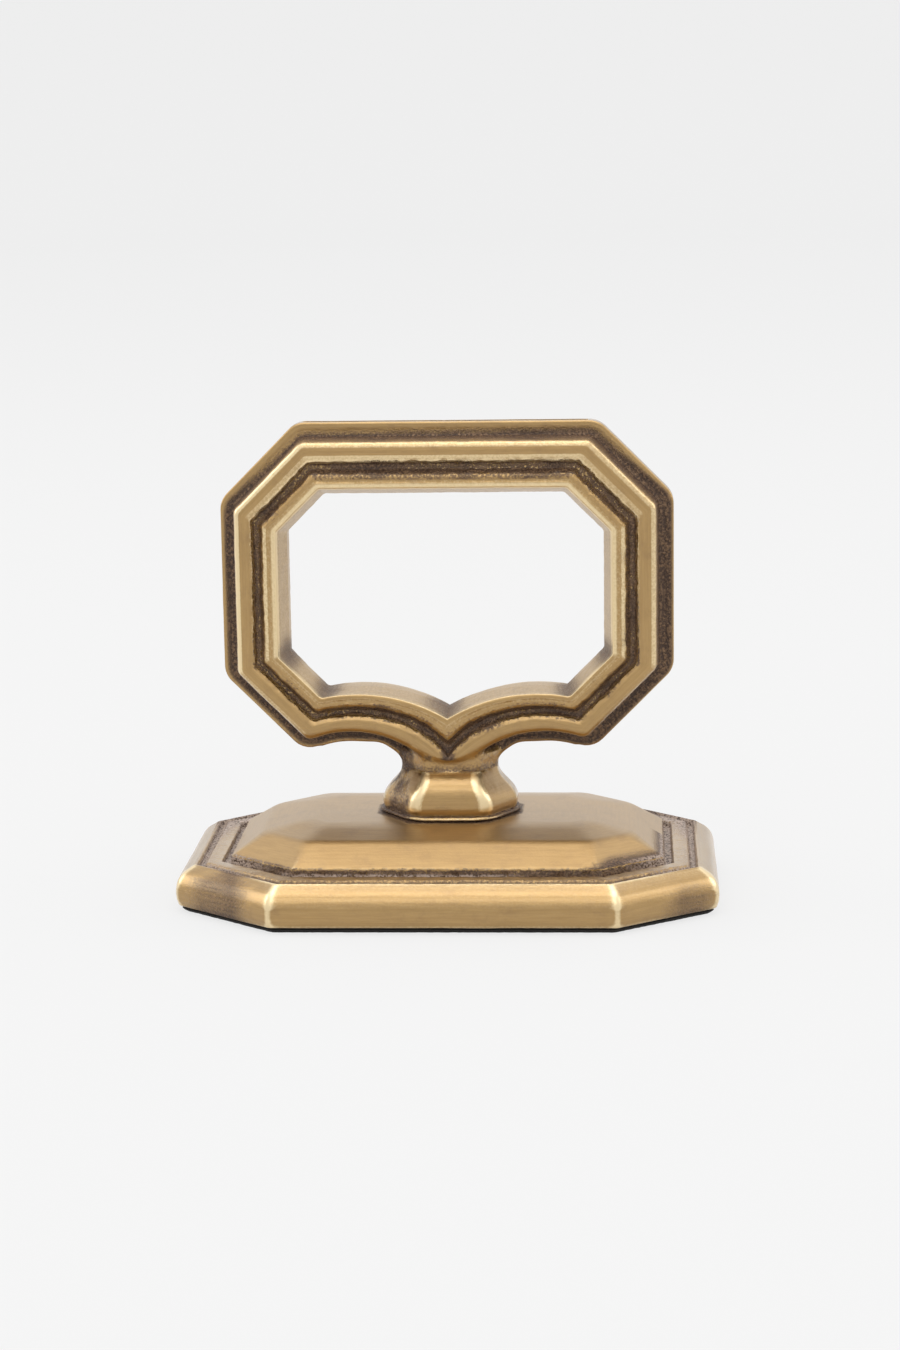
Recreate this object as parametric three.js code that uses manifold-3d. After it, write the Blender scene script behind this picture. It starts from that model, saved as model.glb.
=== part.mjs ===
// Place card napkin ring: a moulded brass ring with a card slot, standing on a stepped brass base.
// Millimetres, +Z up, front towards -Y. The origin is the middle of the face that stands on the table.

import * as THREE from 'three';
import { mergeVertices } from 'three/addons/utils/BufferGeometryUtils.js';
import Module from 'manifold-3d';

const wasm = await Module();
wasm.setup();

// Fits and cutters
const FIT_GAP = 0.3; // left free between two pieces that seat on or in each other
const GLUE_FILM = 0.1; // adhesive between the felt and the base
const CUT_OVERRUN = 1.5; // how far a cutter runs out past the face that it cuts

// Felt pad
const FELT_THICKNESS = 0.6;
const FELT_INSET = 0.65; // from the widest line of the base
const FELT_CORNER_RADIUS = 1.2;

// Base casting in plan
const BASE_WIDTH = 64.5;
const BASE_DEPTH = 46.0;
const BASE_CORNER_WIDTH = 12.1; // run of each corner cut along the front
const BASE_CORNER_DEPTH = 10.6; // and along the side
const BASE_CORNER_RADIUS = 0.7; // softening of the eight upright edges

// Base casting in section, from the outside inwards
const RIM_HEIGHT = 4.75; // top of the rim above the underside
const RIM_WIDTH = 2.6; // widest line to the first groove
const RIM_CROWN_RISE = 1.8; // height of the rounded top of the rim
const RIM_CROWN_BEND_SHARE = 0.2; // how close the bend of that round stays to the corner
const RIM_TUCK = 0.35; // how far the foot of the rim draws in
const RIM_BELLY_HEIGHT = 1.8; // height of the widest line
const RIM_TOP_LEAN = 0.2; // lean of the rim wall from its widest line to the rounded top
const FOOT_CHAMFER = 0.25;
const EDGE_BREAK = 0.12; // worn edge beside each groove
const OUTER_GROOVE_WIDTH = 0.85;
const OUTER_GROOVE_DEPTH = 0.65;
const STEP_BAND_WIDTH = 2.1; // raised band between the two grooves
const INNER_GROOVE_WIDTH = 1.0;
const INNER_GROOVE_DEPTH = 0.55;
const DOME_STEP = 0.85; // upright face where the dome leaves the band's level
const DOME_FACET_WIDTH = 3.6; // steep outer facet of the dome
const DOME_FACET_RISE = 2.35;
const DOME_SHOULDER_WIDTH = 5.0; // gentle facet from the crease to the seat of the ring
const DOME_SHOULDER_RISE = 0.95;
const GROOVE_FLOOR_SHARE = 0.4; // flat floor, as a share of a groove's width
const CREASE_SOFT_SHARE = 0.38; // share of each dome facet that the soft crease takes
const CREASE_STEPS = 5;

// Ring in elevation: an octagon whose bottom is two arched wings that meet in a valley
const RING_WIDTH = 54.2;
const RING_TOP_HEIGHT = 57.0; // top of the ring above the table
const UPPER_CORNER_LEG = 9.05;
const LOWER_CORNER_HEIGHT = 26.75; // height where the side turns into the lower corner cut
const RING_CORNER_RADIUS = 2.8; // on the outermost edge
const RING_CORNER_RADIUS_SHARE = 0.8; // its loss for each unit of inset
const RING_CORNER_LEAST_RADIUS = 0.8; // on the edges further in
const TOP_BAR_EXTRA = 0.4; // added to the mouldings' width along the top
const SIDE_BAR_EXTRA = 0.15; // and along the sides
const WING_RADIUS = 10.2; // arch of the outermost edge
const WING_CENTRE_X = 12.1;
const WING_TOP_HEIGHT = 18.2; // crown of the arch, on the outermost edge
const WING_RADIUS_SHARE = 1.47; // growth of the arch's radius for each unit of inset
const WING_CENTRE_SHARE = 0.2; // move of its centre towards the valley for each unit of inset
const WING_RISE_SHARE = 0.95; // rise of its crown for each unit of inset
const WING_STEEPEST = THREE.MathUtils.degToRad(42);
const VALLEY_FLOOR_HEIGHT = 15.4; // lowest line of the valley, inside the neck
const VALLEY_FLOOR_SHARE = 0.4; // its rise for each unit of inset
const WING_STEPS = 11;
const CORNER_STEPS = 3;

// Ring in section, the same on both faces: insets from the outermost edge, depths from face to face
const FLANGE_DEPTH = 2.0;
const FLANGE_INSET = 1.7; // foot of the riser to the middle band
const FLANGE_EDGE_RADIUS = 0.4;
const COVE_RADIUS = 0.35; // inside corner between the flange and the riser
const MIDDLE_BAND_INSET = 2.1;
const MIDDLE_BAND_END_INSET = 4.15;
const MIDDLE_BAND_DEPTH = 9.3;
const INNER_BAND_INSET = 5.3;
const INNER_BAND_END_INSET = 6.95;
const INNER_BAND_DEPTH = 10.4;
const BAND_CROWN = 0.14; // how far the middle of a band stands above its edges
const BAND_EDGE_BREAK = 0.2;
const MOULDING_GROOVE_DEPTH = 0.95; // below the middle band's face
const OPENING_INSET = 7.99; // narrowest line of the opening
const OPENING_LAND_DEPTH = 2.0; // straight land left at the parting line
const OPENING_TOP_DROP = 0.1; // how far the opening sits lower than the bands around it
const OPENING_FLOOR_DROP = 0.7; // the same along the wings
const OPENING_CORNER_SHARE = 0.7; // share of that drop on the lower corner cuts

// Slot for the card, sawn into the top of the ring
const SLOT_WIDTH = 0.9;
const SLOT_LENGTH = 34;
const SLOT_DEPTH = 3.2;
const SLOT_SAW_RADIUS = 7;
const SLOT_END_STEPS = 5;

// Neck and foot of the ring casting: an eight sided bell under the valley
const FOOT_WIDTH = 16.9;
const FOOT_DEPTH = 14.6;
const FOOT_LIP_HEIGHT = 0.4;
const FOOT_LIP_OVERHANG = 0.28; // lip beyond the bell
const WAIST_WIDTH = 11.6;
const WAIST_DEPTH = 8.6;
const WAIST_HEIGHT = 15.0; // above the table
const NECK_TOP_HEIGHT = 17.5; // where the neck ends inside the wings
const NECK_TOP_WIDTH = 10.2;
const FRONT_FACET_SHARE = 0.56; // width of the front facet as a share of the neck's width
const SIDE_FACET_SHARE = 0.2; // depth of the side facet as a share of the neck's depth
// Height, side flare and front flare of the bell, each as a share of its run from lip to waist
const BELL_SHARES = [
  [0.0, 0.97, 0.96],
  [0.1, 1.0, 1.0],
  [0.26, 0.9, 0.99],
  [0.42, 0.72, 0.94],
  [0.58, 0.5, 0.83],
  [0.72, 0.29, 0.66],
  [0.84, 0.12, 0.43],
  [0.93, 0.03, 0.2],
  [1.0, 0.0, 0.0],
];

// Tenon that squares the ring to the base, and the screw that draws it down
const TENON_WIDTH = 9.6;
const TENON_DEPTH = 7.4;
const TENON_HEIGHT = 2.0;
const TENON_CORNER_LEG = 1.4;
const SCREW_DIAMETER = 4.0;
const SCREW_LENGTH = 12.0; // under the head
const SCREW_TIP_CHAMFER = 0.6;
const SCREW_HEAD_DIAMETER = 7.0;
const SCREW_HEAD_HEIGHT = 1.9;
const SCREW_HEAD_ROUND = 0.8;
const SCREW_SLOT_WIDTH = 1.1;
const SCREW_SLOT_DEPTH = 0.9;
const SCREW_HOLE_SPARE = 1.0; // blind hole beyond the screw's tip
const WASHER_DIAMETER = 7.6;
const WASHER_THICKNESS = 0.9;
const WASHER_SPLIT = 0.7;
const WASHER_SPLIT_LEAN = THREE.MathUtils.degToRad(20);
const HEAD_RECESS = 0.2; // screw head above the underside of the base
const COUNTERBORE_DIAMETER = 9.0;
const CLEARANCE_HOLE_DIAMETER = 4.8;
const ROUND_STEPS = 32;
const BEND_STEPS = 3;

// Heights that follow from the sizes above
const BASE_UNDERSIDE = FELT_THICKNESS + GLUE_FILM;
const DOME_START = BASE_UNDERSIDE + RIM_HEIGHT + DOME_STEP;
const SEAT_HEIGHT = DOME_START + DOME_FACET_RISE + DOME_SHOULDER_RISE;
const FOOT_UNDERSIDE = SEAT_HEIGHT + FIT_GAP;
const TENON_UNDERSIDE = FOOT_UNDERSIDE - TENON_HEIGHT;
const HEAD_UNDERSIDE = BASE_UNDERSIDE + HEAD_RECESS + SCREW_HEAD_HEIGHT;
const WASHER_UNDERSIDE = HEAD_UNDERSIDE + FIT_GAP;
const COUNTERBORE_TOP = WASHER_UNDERSIDE + WASHER_THICKNESS + FIT_GAP;
const SCREW_TIP = HEAD_UNDERSIDE + SCREW_LENGTH;

const brass = { color: '#ab8c58', roughness: 0.36, metalness: 1 };
const steel = { color: '#b4b6b8', roughness: 0.4, metalness: 1 };
const felt = { color: '#1b1a19', roughness: 1, metalness: 0 };

// Solids and meshes

function solidOf(geometry) {
  const bare = geometry.clone();
  bare.deleteAttribute('normal');
  bare.deleteAttribute('uv');
  const merged = mergeVertices(bare);
  return new wasm.Manifold(new wasm.Mesh({
    numProp: 3,
    vertProperties: new Float32Array(merged.attributes.position.array),
    triVerts: new Uint32Array(merged.index.array),
  }));
}

function geometryOf(solid) {
  const mesh = solid.getMesh();
  const geometry = new THREE.BufferGeometry();
  geometry.setAttribute('position', new THREE.BufferAttribute(mesh.vertProperties, mesh.numProp));
  geometry.setIndex(new THREE.BufferAttribute(mesh.triVerts, 1));
  geometry.computeVertexNormals();
  return geometry;
}

function named(name, geometry, finish) {
  const mesh = new THREE.Mesh(geometry, new THREE.MeshStandardMaterial(finish));
  mesh.name = name;
  return mesh;
}

// Skin of triangles through a row of loops that hold equally many points. A ring closes on itself,
// anything else is closed by a flat cap on its first and last loop.
function loft(loops, closesOnItself) {
  const perLoop = loops[0].length;
  const positions = loops.flat().flatMap((point) => [point.x, point.y, point.z]);
  const faces = [];
  const spans = closesOnItself ? loops.length : loops.length - 1;
  for (let row = 0; row < spans; row += 1) {
    const here = row * perLoop;
    const next = ((row + 1) % loops.length) * perLoop;
    for (let i = 0; i < perLoop; i += 1) {
      const j = (i + 1) % perLoop;
      faces.push(here + i, here + j, next + j, here + i, next + j, next + i);
    }
  }
  if (!closesOnItself) {
    const last = (loops.length - 1) * perLoop;
    for (let i = 1; i < perLoop - 1; i += 1) {
      faces.push(0, i + 1, i, last, last + i, last + i + 1);
    }
  }
  const geometry = new THREE.BufferGeometry();
  geometry.setAttribute('position', new THREE.Float32BufferAttribute(positions, 3));
  geometry.setIndex(faces);
  return geometry;
}

// Outlines

// The corner of a path, rounded by an arc that touches both of its legs
function roundedCorner(before, corner, after, radius, steps) {
  const incoming = corner.clone().sub(before).normalize();
  const outgoing = after.clone().sub(corner).normalize();
  const turn = Math.atan2(incoming.cross(outgoing), incoming.dot(outgoing));
  const reach = radius * Math.tan(Math.abs(turn) / 2);
  const start = corner.clone().addScaledVector(incoming, -reach);
  const points = [];
  for (let i = 0; i <= steps; i += 1) {
    const angle = (turn * i) / steps;
    const along = radius * Math.sin(Math.abs(angle));
    const across = Math.sign(turn) * radius * (1 - Math.cos(angle));
    const side = new THREE.Vector2(-incoming.y, incoming.x);
    points.push(start.clone().addScaledVector(incoming, along).addScaledVector(side, across));
  }
  return points;
}

function roundedPolygon(corners, radius, steps) {
  const count = corners.length;
  return corners.flatMap((corner, i) => roundedCorner(
    corners[(i + count - 1) % count],
    corner,
    corners[(i + 1) % count],
    radius,
    steps,
  ));
}

// Rectangle with four cut corners, counter-clockwise
function cutRectangle(halfX, halfY, legX, legY) {
  return [
    [halfX - legX, -halfY],
    [halfX, legY - halfY],
    [halfX, halfY - legY],
    [halfX - legX, halfY],
    [legX - halfX, halfY],
    [-halfX, halfY - legY],
    [-halfX, legY - halfY],
    [legX - halfX, -halfY],
  ].map(([x, y]) => new THREE.Vector2(x, y));
}

function atHeight(outline, z) {
  return outline.map((point) => new THREE.Vector3(point.x, point.y, z));
}

// The plan of the base, moved inwards all round by an inset that keeps the direction of the cuts
function basePlan(inset, radius) {
  const cut = Math.hypot(BASE_CORNER_WIDTH, BASE_CORNER_DEPTH);
  const legX = BASE_CORNER_WIDTH - inset * (1 + (BASE_CORNER_WIDTH - cut) / BASE_CORNER_DEPTH);
  const legY = BASE_CORNER_DEPTH - inset * (1 + (BASE_CORNER_DEPTH - cut) / BASE_CORNER_WIDTH);
  const corners = cutRectangle(BASE_WIDTH / 2 - inset, BASE_DEPTH / 2 - inset, legX, legY);
  return roundedPolygon(corners, radius, BEND_STEPS);
}

// Base casting

// Inset and height of a groove with a flat floor between two broken edges
function grooveSection(inset, width, depth) {
  const floor = RIM_HEIGHT - depth;
  const slope = (width * (1 - GROOVE_FLOOR_SHARE)) / 2;
  return [
    [inset - EDGE_BREAK, RIM_HEIGHT],
    [inset + EDGE_BREAK / 2, RIM_HEIGHT - EDGE_BREAK],
    [inset + slope, floor],
    [inset + width - slope, floor],
    [inset + width - EDGE_BREAK / 2, RIM_HEIGHT - EDGE_BREAK],
    [inset + width + EDGE_BREAK, RIM_HEIGHT],
  ];
}

function bendPoints(start, bend, end) {
  const curve = new THREE.QuadraticBezierCurve(start, bend, end);
  return curve.getPoints(CREASE_STEPS).map((point) => [point.x, point.y]);
}

function rimSection() {
  const wallTop = new THREE.Vector2(RIM_TOP_LEAN, RIM_HEIGHT - RIM_CROWN_RISE);
  const edge = new THREE.Vector2(RIM_WIDTH - EDGE_BREAK, RIM_HEIGHT);
  const bend = new THREE.Vector2(
    THREE.MathUtils.lerp(wallTop.x, edge.x, RIM_CROWN_BEND_SHARE),
    THREE.MathUtils.lerp(edge.y, wallTop.y, RIM_CROWN_BEND_SHARE),
  );
  return [
    [RIM_TUCK + FOOT_CHAMFER, 0],
    [RIM_TUCK, FOOT_CHAMFER],
    [RIM_TUCK / 4, RIM_BELLY_HEIGHT / 2 + FOOT_CHAMFER / 2],
    [0, RIM_BELLY_HEIGHT],
    ...bendPoints(wallTop, bend, edge).slice(0, -1),
  ];
}

function domeSection(inset, startHeight) {
  const foot = new THREE.Vector2(inset, startHeight);
  const crease = new THREE.Vector2(inset + DOME_FACET_WIDTH, startHeight + DOME_FACET_RISE);
  const seat = new THREE.Vector2(crease.x + DOME_SHOULDER_WIDTH, crease.y + DOME_SHOULDER_RISE);
  const softened = bendPoints(
    crease.clone().lerp(foot, CREASE_SOFT_SHARE),
    crease,
    crease.clone().lerp(seat, CREASE_SOFT_SHARE),
  );
  return [[foot.x, foot.y], ...softened, [seat.x, seat.y]];
}

// Inset and height above the underside, from the foot of the rim to the seat of the ring
function baseSection() {
  const bandInset = RIM_WIDTH + OUTER_GROOVE_WIDTH;
  const innerGrooveInset = bandInset + STEP_BAND_WIDTH;
  const domeInset = innerGrooveInset + INNER_GROOVE_WIDTH;
  return [
    ...rimSection(),
    ...grooveSection(RIM_WIDTH, OUTER_GROOVE_WIDTH, OUTER_GROOVE_DEPTH),
    ...grooveSection(innerGrooveInset, INNER_GROOVE_WIDTH, INNER_GROOVE_DEPTH).slice(0, -2),
    ...domeSection(domeInset, RIM_HEIGHT + DOME_STEP),
  ];
}

function upright(radius, bottom, top) {
  const cylinder = new THREE.CylinderGeometry(radius, radius, top - bottom, ROUND_STEPS);
  cylinder.rotateX(Math.PI / 2);
  cylinder.translate(0, 0, (top + bottom) / 2);
  return solidOf(cylinder);
}

function tenonBlock(clearance, bottom, top) {
  const outline = cutRectangle(
    TENON_WIDTH / 2 + clearance,
    TENON_DEPTH / 2 + clearance,
    TENON_CORNER_LEG,
    TENON_CORNER_LEG,
  );
  return solidOf(loft([atHeight(outline, bottom), atHeight(outline, top)], false));
}

function baseCasting() {
  const loops = baseSection().map(([inset, height]) => atHeight(
    basePlan(inset, BASE_CORNER_RADIUS),
    BASE_UNDERSIDE + height,
  ));
  const mortise = tenonBlock(FIT_GAP, TENON_UNDERSIDE - FIT_GAP, SEAT_HEIGHT + CUT_OVERRUN);
  const hole = upright(CLEARANCE_HOLE_DIAMETER / 2, BASE_UNDERSIDE, SEAT_HEIGHT);
  const counterbore = upright(
    COUNTERBORE_DIAMETER / 2,
    BASE_UNDERSIDE - CUT_OVERRUN,
    COUNTERBORE_TOP,
  );
  return geometryOf(solidOf(loft(loops, false)).subtract(mortise).subtract(hole).subtract(counterbore));
}

// Ring casting

// How much of a change that runs from one inset to another is reached at an inset
function reached(inset, first, last) {
  return THREE.MathUtils.clamp((inset - first) / (last - first), 0, 1);
}

function floorDrop(inset) {
  return OPENING_FLOOR_DROP * reached(inset, INNER_BAND_END_INSET, OPENING_INSET);
}

function topDrop(inset) {
  return TOP_BAR_EXTRA * reached(inset, MIDDLE_BAND_INSET, INNER_BAND_INSET)
    + OPENING_TOP_DROP * reached(inset, INNER_BAND_END_INSET, OPENING_INSET);
}

function wingArch(inset) {
  const radius = WING_RADIUS + WING_RADIUS_SHARE * inset;
  return {
    radius,
    x: WING_CENTRE_X - WING_CENTRE_SHARE * inset,
    z: WING_TOP_HEIGHT + WING_RISE_SHARE * inset - radius - floorDrop(inset),
  };
}

// Where the lower corner cut, on which x - z is fixed, meets the arch beyond its crown
function wingEnd(arch, cut) {
  const middle = (arch.x + arch.z + cut) / 2;
  const distance = (arch.x - arch.z - cut) / Math.SQRT2;
  const half = Math.sqrt(arch.radius ** 2 - distance ** 2) / Math.SQRT2;
  return new THREE.Vector2(middle + half, middle + half - cut);
}

// From the lower corner over the arch and down towards the valley
function wingPoints(arch, corner, reach) {
  const first = Math.asin((corner.x - arch.x) / arch.radius) - reach / arch.radius;
  const last = -Math.min(Math.asin(Math.min(arch.x / arch.radius, 1)), WING_STEEPEST);
  const points = [];
  for (let i = 1; i < WING_STEPS; i += 1) {
    const angle = first + ((last - first) * i) / WING_STEPS;
    points.push(new THREE.Vector2(
      arch.x + arch.radius * Math.sin(angle),
      arch.z + arch.radius * Math.cos(angle),
    ));
  }
  return points;
}

function valleyPoint(arch, inset) {
  const slope = Math.min(Math.asin(Math.min(arch.x / arch.radius, 1)), WING_STEEPEST);
  const endX = arch.x - arch.radius * Math.sin(slope);
  const endZ = arch.z + arch.radius * Math.cos(slope);
  const floor = VALLEY_FLOOR_HEIGHT + VALLEY_FLOOR_SHARE * inset - floorDrop(inset);
  return new THREE.Vector2(0, Math.max(endZ - endX * Math.tan(slope), floor));
}

// The ring's outline in elevation, moved inwards by an inset: right half from the top down to the
// valley, then its mirror image
function ringOutline(inset) {
  const side = RING_WIDTH / 2 - inset
    - SIDE_BAR_EXTRA * reached(inset, MIDDLE_BAND_INSET, INNER_BAND_INSET);
  const top = RING_TOP_HEIGHT - inset - topDrop(inset);
  const upperCut = RING_WIDTH / 2 + RING_TOP_HEIGHT - UPPER_CORNER_LEG
    - inset * Math.SQRT2 - topDrop(inset);
  const lowerCut = RING_WIDTH / 2 - LOWER_CORNER_HEIGHT
    - inset * Math.SQRT2 + floorDrop(inset) * OPENING_CORNER_SHARE;
  const arch = wingArch(inset);
  const end = wingEnd(arch, lowerCut);
  const corners = [
    new THREE.Vector2(0, top),
    new THREE.Vector2(upperCut - top, top),
    new THREE.Vector2(side, upperCut - side),
    new THREE.Vector2(side, side - lowerCut),
    end,
    end.clone().add(new THREE.Vector2(arch.z - end.y, end.x - arch.x)),
  ];
  const radius = Math.max(
    RING_CORNER_RADIUS - RING_CORNER_RADIUS_SHARE * inset,
    RING_CORNER_LEAST_RADIUS,
  );
  const bends = corners.slice(1, -1).flatMap((corner, i) => roundedCorner(
    corners[i],
    corner,
    corners[i + 2],
    radius,
    CORNER_STEPS,
  ));
  const reach = bends[bends.length - 1].distanceTo(end);
  const half = [...bends, ...wingPoints(arch, end, reach)];
  const mirrored = half.map((point) => new THREE.Vector2(-point.x, point.y)).reverse();
  return [...half, valleyPoint(arch, inset), ...mirrored];
}

// Inset and distance in front of the middle plane, from the outermost edge to the opening's land
function mouldingSection() {
  const flange = FLANGE_DEPTH / 2;
  const middle = MIDDLE_BAND_DEPTH / 2;
  const inner = INNER_BAND_DEPTH / 2;
  const middleSpan = MIDDLE_BAND_END_INSET - MIDDLE_BAND_INSET;
  const grooveSpan = INNER_BAND_INSET - MIDDLE_BAND_END_INSET;
  const innerSpan = INNER_BAND_END_INSET - INNER_BAND_INSET;
  const grooveFloor = middle - MOULDING_GROOVE_DEPTH;
  const roundEdge = [];
  for (let i = 0; i <= BEND_STEPS; i += 1) {
    const angle = (Math.PI / 2) * (i / BEND_STEPS);
    roundEdge.push([
      FLANGE_EDGE_RADIUS * (1 - Math.cos(angle)),
      flange - FLANGE_EDGE_RADIUS * (1 - Math.sin(angle)),
    ]);
  }
  return [
    ...roundEdge,
    [FLANGE_INSET - COVE_RADIUS, flange],
    [FLANGE_INSET, flange + COVE_RADIUS],
    [MIDDLE_BAND_INSET - BAND_EDGE_BREAK / 2, middle - BAND_EDGE_BREAK],
    [MIDDLE_BAND_INSET + BAND_EDGE_BREAK, middle],
    [MIDDLE_BAND_INSET + middleSpan / 2, middle + BAND_CROWN],
    [MIDDLE_BAND_END_INSET - BAND_EDGE_BREAK, middle],
    [MIDDLE_BAND_END_INSET, middle - BAND_EDGE_BREAK],
    [MIDDLE_BAND_END_INSET + (grooveSpan * (1 - GROOVE_FLOOR_SHARE)) / 2, grooveFloor],
    [INNER_BAND_INSET - (grooveSpan * (1 - GROOVE_FLOOR_SHARE)) / 2, grooveFloor],
    [INNER_BAND_INSET, inner - BAND_EDGE_BREAK - BAND_CROWN],
    [INNER_BAND_INSET + BAND_EDGE_BREAK, inner - BAND_CROWN],
    [INNER_BAND_INSET + innerSpan / 2, inner],
    [INNER_BAND_END_INSET - BAND_EDGE_BREAK, inner - BAND_CROWN / 2],
    [INNER_BAND_END_INSET + BAND_EDGE_BREAK / 4, inner - BAND_EDGE_BREAK - BAND_CROWN / 2],
    [OPENING_INSET, OPENING_LAND_DEPTH / 2],
  ];
}

function mouldedRing() {
  const front = mouldingSection();
  const back = front.map(([inset, depth]) => [inset, -depth]).reverse();
  const loops = [...front, ...back].map(([inset, depth]) => ringOutline(inset).map(
    (point) => new THREE.Vector3(point.x, depth, point.y),
  ));
  return solidOf(loft(loops, true));
}

function neckOutline(width, depth) {
  return cutRectangle(
    width / 2,
    depth / 2,
    (width / 2) * (1 - FRONT_FACET_SHARE),
    (depth / 2) * (1 - SIDE_FACET_SHARE),
  );
}

function neckAndFoot() {
  const lipTop = FOOT_UNDERSIDE + FOOT_LIP_HEIGHT;
  const bellWidth = FOOT_WIDTH - 2 * FOOT_LIP_OVERHANG;
  const bellDepth = FOOT_DEPTH - 2 * FOOT_LIP_OVERHANG;
  const bell = BELL_SHARES.map(([heightShare, sideShare, frontShare]) => atHeight(
    neckOutline(
      WAIST_WIDTH + (bellWidth - WAIST_WIDTH) * sideShare,
      WAIST_DEPTH + (bellDepth - WAIST_DEPTH) * frontShare,
    ),
    lipTop + (WAIST_HEIGHT - lipTop) * heightShare,
  ));
  const loops = [
    atHeight(neckOutline(FOOT_WIDTH, FOOT_DEPTH), FOOT_UNDERSIDE),
    atHeight(neckOutline(FOOT_WIDTH, FOOT_DEPTH), lipTop - FOOT_LIP_HEIGHT / 4),
    ...bell,
    atHeight(neckOutline(NECK_TOP_WIDTH, WAIST_DEPTH), NECK_TOP_HEIGHT),
  ];
  return solidOf(loft(loops, false));
}

// A blade of the slot's width whose ends rise on the radius of the saw
function cardSlotCutter() {
  const floor = RING_TOP_HEIGHT - SLOT_DEPTH;
  const sawRun = Math.sqrt(SLOT_SAW_RADIUS ** 2 - (SLOT_SAW_RADIUS - SLOT_DEPTH) ** 2);
  const floorEnd = SLOT_LENGTH / 2 - sawRun;
  const half = [];
  for (let i = 0; i <= SLOT_END_STEPS; i += 1) {
    const angle = Math.asin(sawRun / SLOT_SAW_RADIUS) * (i / SLOT_END_STEPS);
    half.push(new THREE.Vector2(
      floorEnd + SLOT_SAW_RADIUS * Math.sin(angle),
      floor + SLOT_SAW_RADIUS * (1 - Math.cos(angle)),
    ));
  }
  half.push(new THREE.Vector2(SLOT_LENGTH / 2, RING_TOP_HEIGHT + CUT_OVERRUN));
  const mirrored = half.map((point) => new THREE.Vector2(-point.x, point.y)).reverse();
  const blade = new THREE.ExtrudeGeometry(new THREE.Shape([...half, ...mirrored]), {
    depth: SLOT_WIDTH,
    bevelEnabled: false,
  });
  blade.rotateX(Math.PI / 2);
  blade.translate(0, SLOT_WIDTH / 2, 0);
  return solidOf(blade);
}

function ringCasting() {
  const threadedHole = upright(
    SCREW_DIAMETER / 2 + FIT_GAP,
    TENON_UNDERSIDE - CUT_OVERRUN,
    SCREW_TIP + SCREW_HOLE_SPARE,
  );
  const solid = mouldedRing()
    .add(neckAndFoot())
    .add(tenonBlock(0, TENON_UNDERSIDE, FOOT_UNDERSIDE + FOOT_LIP_HEIGHT))
    .subtract(cardSlotCutter())
    .subtract(threadedHole);
  return geometryOf(solid);
}

// Fastening and felt

function turned(section) {
  const lathe = new THREE.LatheGeometry(
    section.map(([radius, height]) => new THREE.Vector2(radius, height)),
    ROUND_STEPS,
  );
  lathe.rotateX(Math.PI / 2);
  return solidOf(lathe);
}

function fixingScrew() {
  const head = SCREW_HEAD_DIAMETER / 2;
  const shank = SCREW_DIAMETER / 2;
  const headFace = HEAD_UNDERSIDE - SCREW_HEAD_HEIGHT;
  const body = turned([
    [0, headFace],
    [head - SCREW_HEAD_ROUND, headFace],
    [head - SCREW_HEAD_ROUND * (1 - Math.SQRT1_2), headFace + SCREW_HEAD_ROUND * (1 - Math.SQRT1_2)],
    [head, headFace + SCREW_HEAD_ROUND],
    [head, HEAD_UNDERSIDE],
    [shank, HEAD_UNDERSIDE],
    [shank, SCREW_TIP - SCREW_TIP_CHAMFER],
    [shank - SCREW_TIP_CHAMFER, SCREW_TIP],
    [0, SCREW_TIP],
  ]);
  const slot = new THREE.BoxGeometry(
    SCREW_HEAD_DIAMETER + CUT_OVERRUN,
    SCREW_SLOT_WIDTH,
    SCREW_SLOT_DEPTH + CUT_OVERRUN,
  );
  slot.translate(0, 0, headFace + (SCREW_SLOT_DEPTH - CUT_OVERRUN) / 2);
  return geometryOf(body.subtract(solidOf(slot)));
}

function springWasher() {
  const hole = SCREW_DIAMETER / 2 + FIT_GAP;
  const top = WASHER_UNDERSIDE + WASHER_THICKNESS;
  const body = turned([
    [hole, WASHER_UNDERSIDE],
    [WASHER_DIAMETER / 2, WASHER_UNDERSIDE],
    [WASHER_DIAMETER / 2, top],
    [hole, top],
    [hole, WASHER_UNDERSIDE],
  ]);
  const split = new THREE.BoxGeometry(WASHER_DIAMETER, WASHER_SPLIT, WASHER_THICKNESS + 2 * CUT_OVERRUN);
  split.rotateX(WASHER_SPLIT_LEAN);
  split.translate(WASHER_DIAMETER / 2, 0, (WASHER_UNDERSIDE + top) / 2);
  return geometryOf(body.subtract(solidOf(split)));
}

function feltPad() {
  const outline = basePlan(FELT_INSET, FELT_CORNER_RADIUS);
  return geometryOf(solidOf(loft([atHeight(outline, 0), atHeight(outline, FELT_THICKNESS)], false)));
}

const group = new THREE.Group();
group.add(
  named('ring_casting', ringCasting(), brass),
  named('base_casting', baseCasting(), brass),
  named('fixing_screw', fixingScrew(), steel),
  named('spring_washer', springWasher(), steel),
  named('felt_pad', feltPad(), felt),
);

export default group;
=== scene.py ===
import math

import bpy
import numpy as np
from mathutils import Matrix, Vector
from mathutils.kdtree import KDTree

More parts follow.
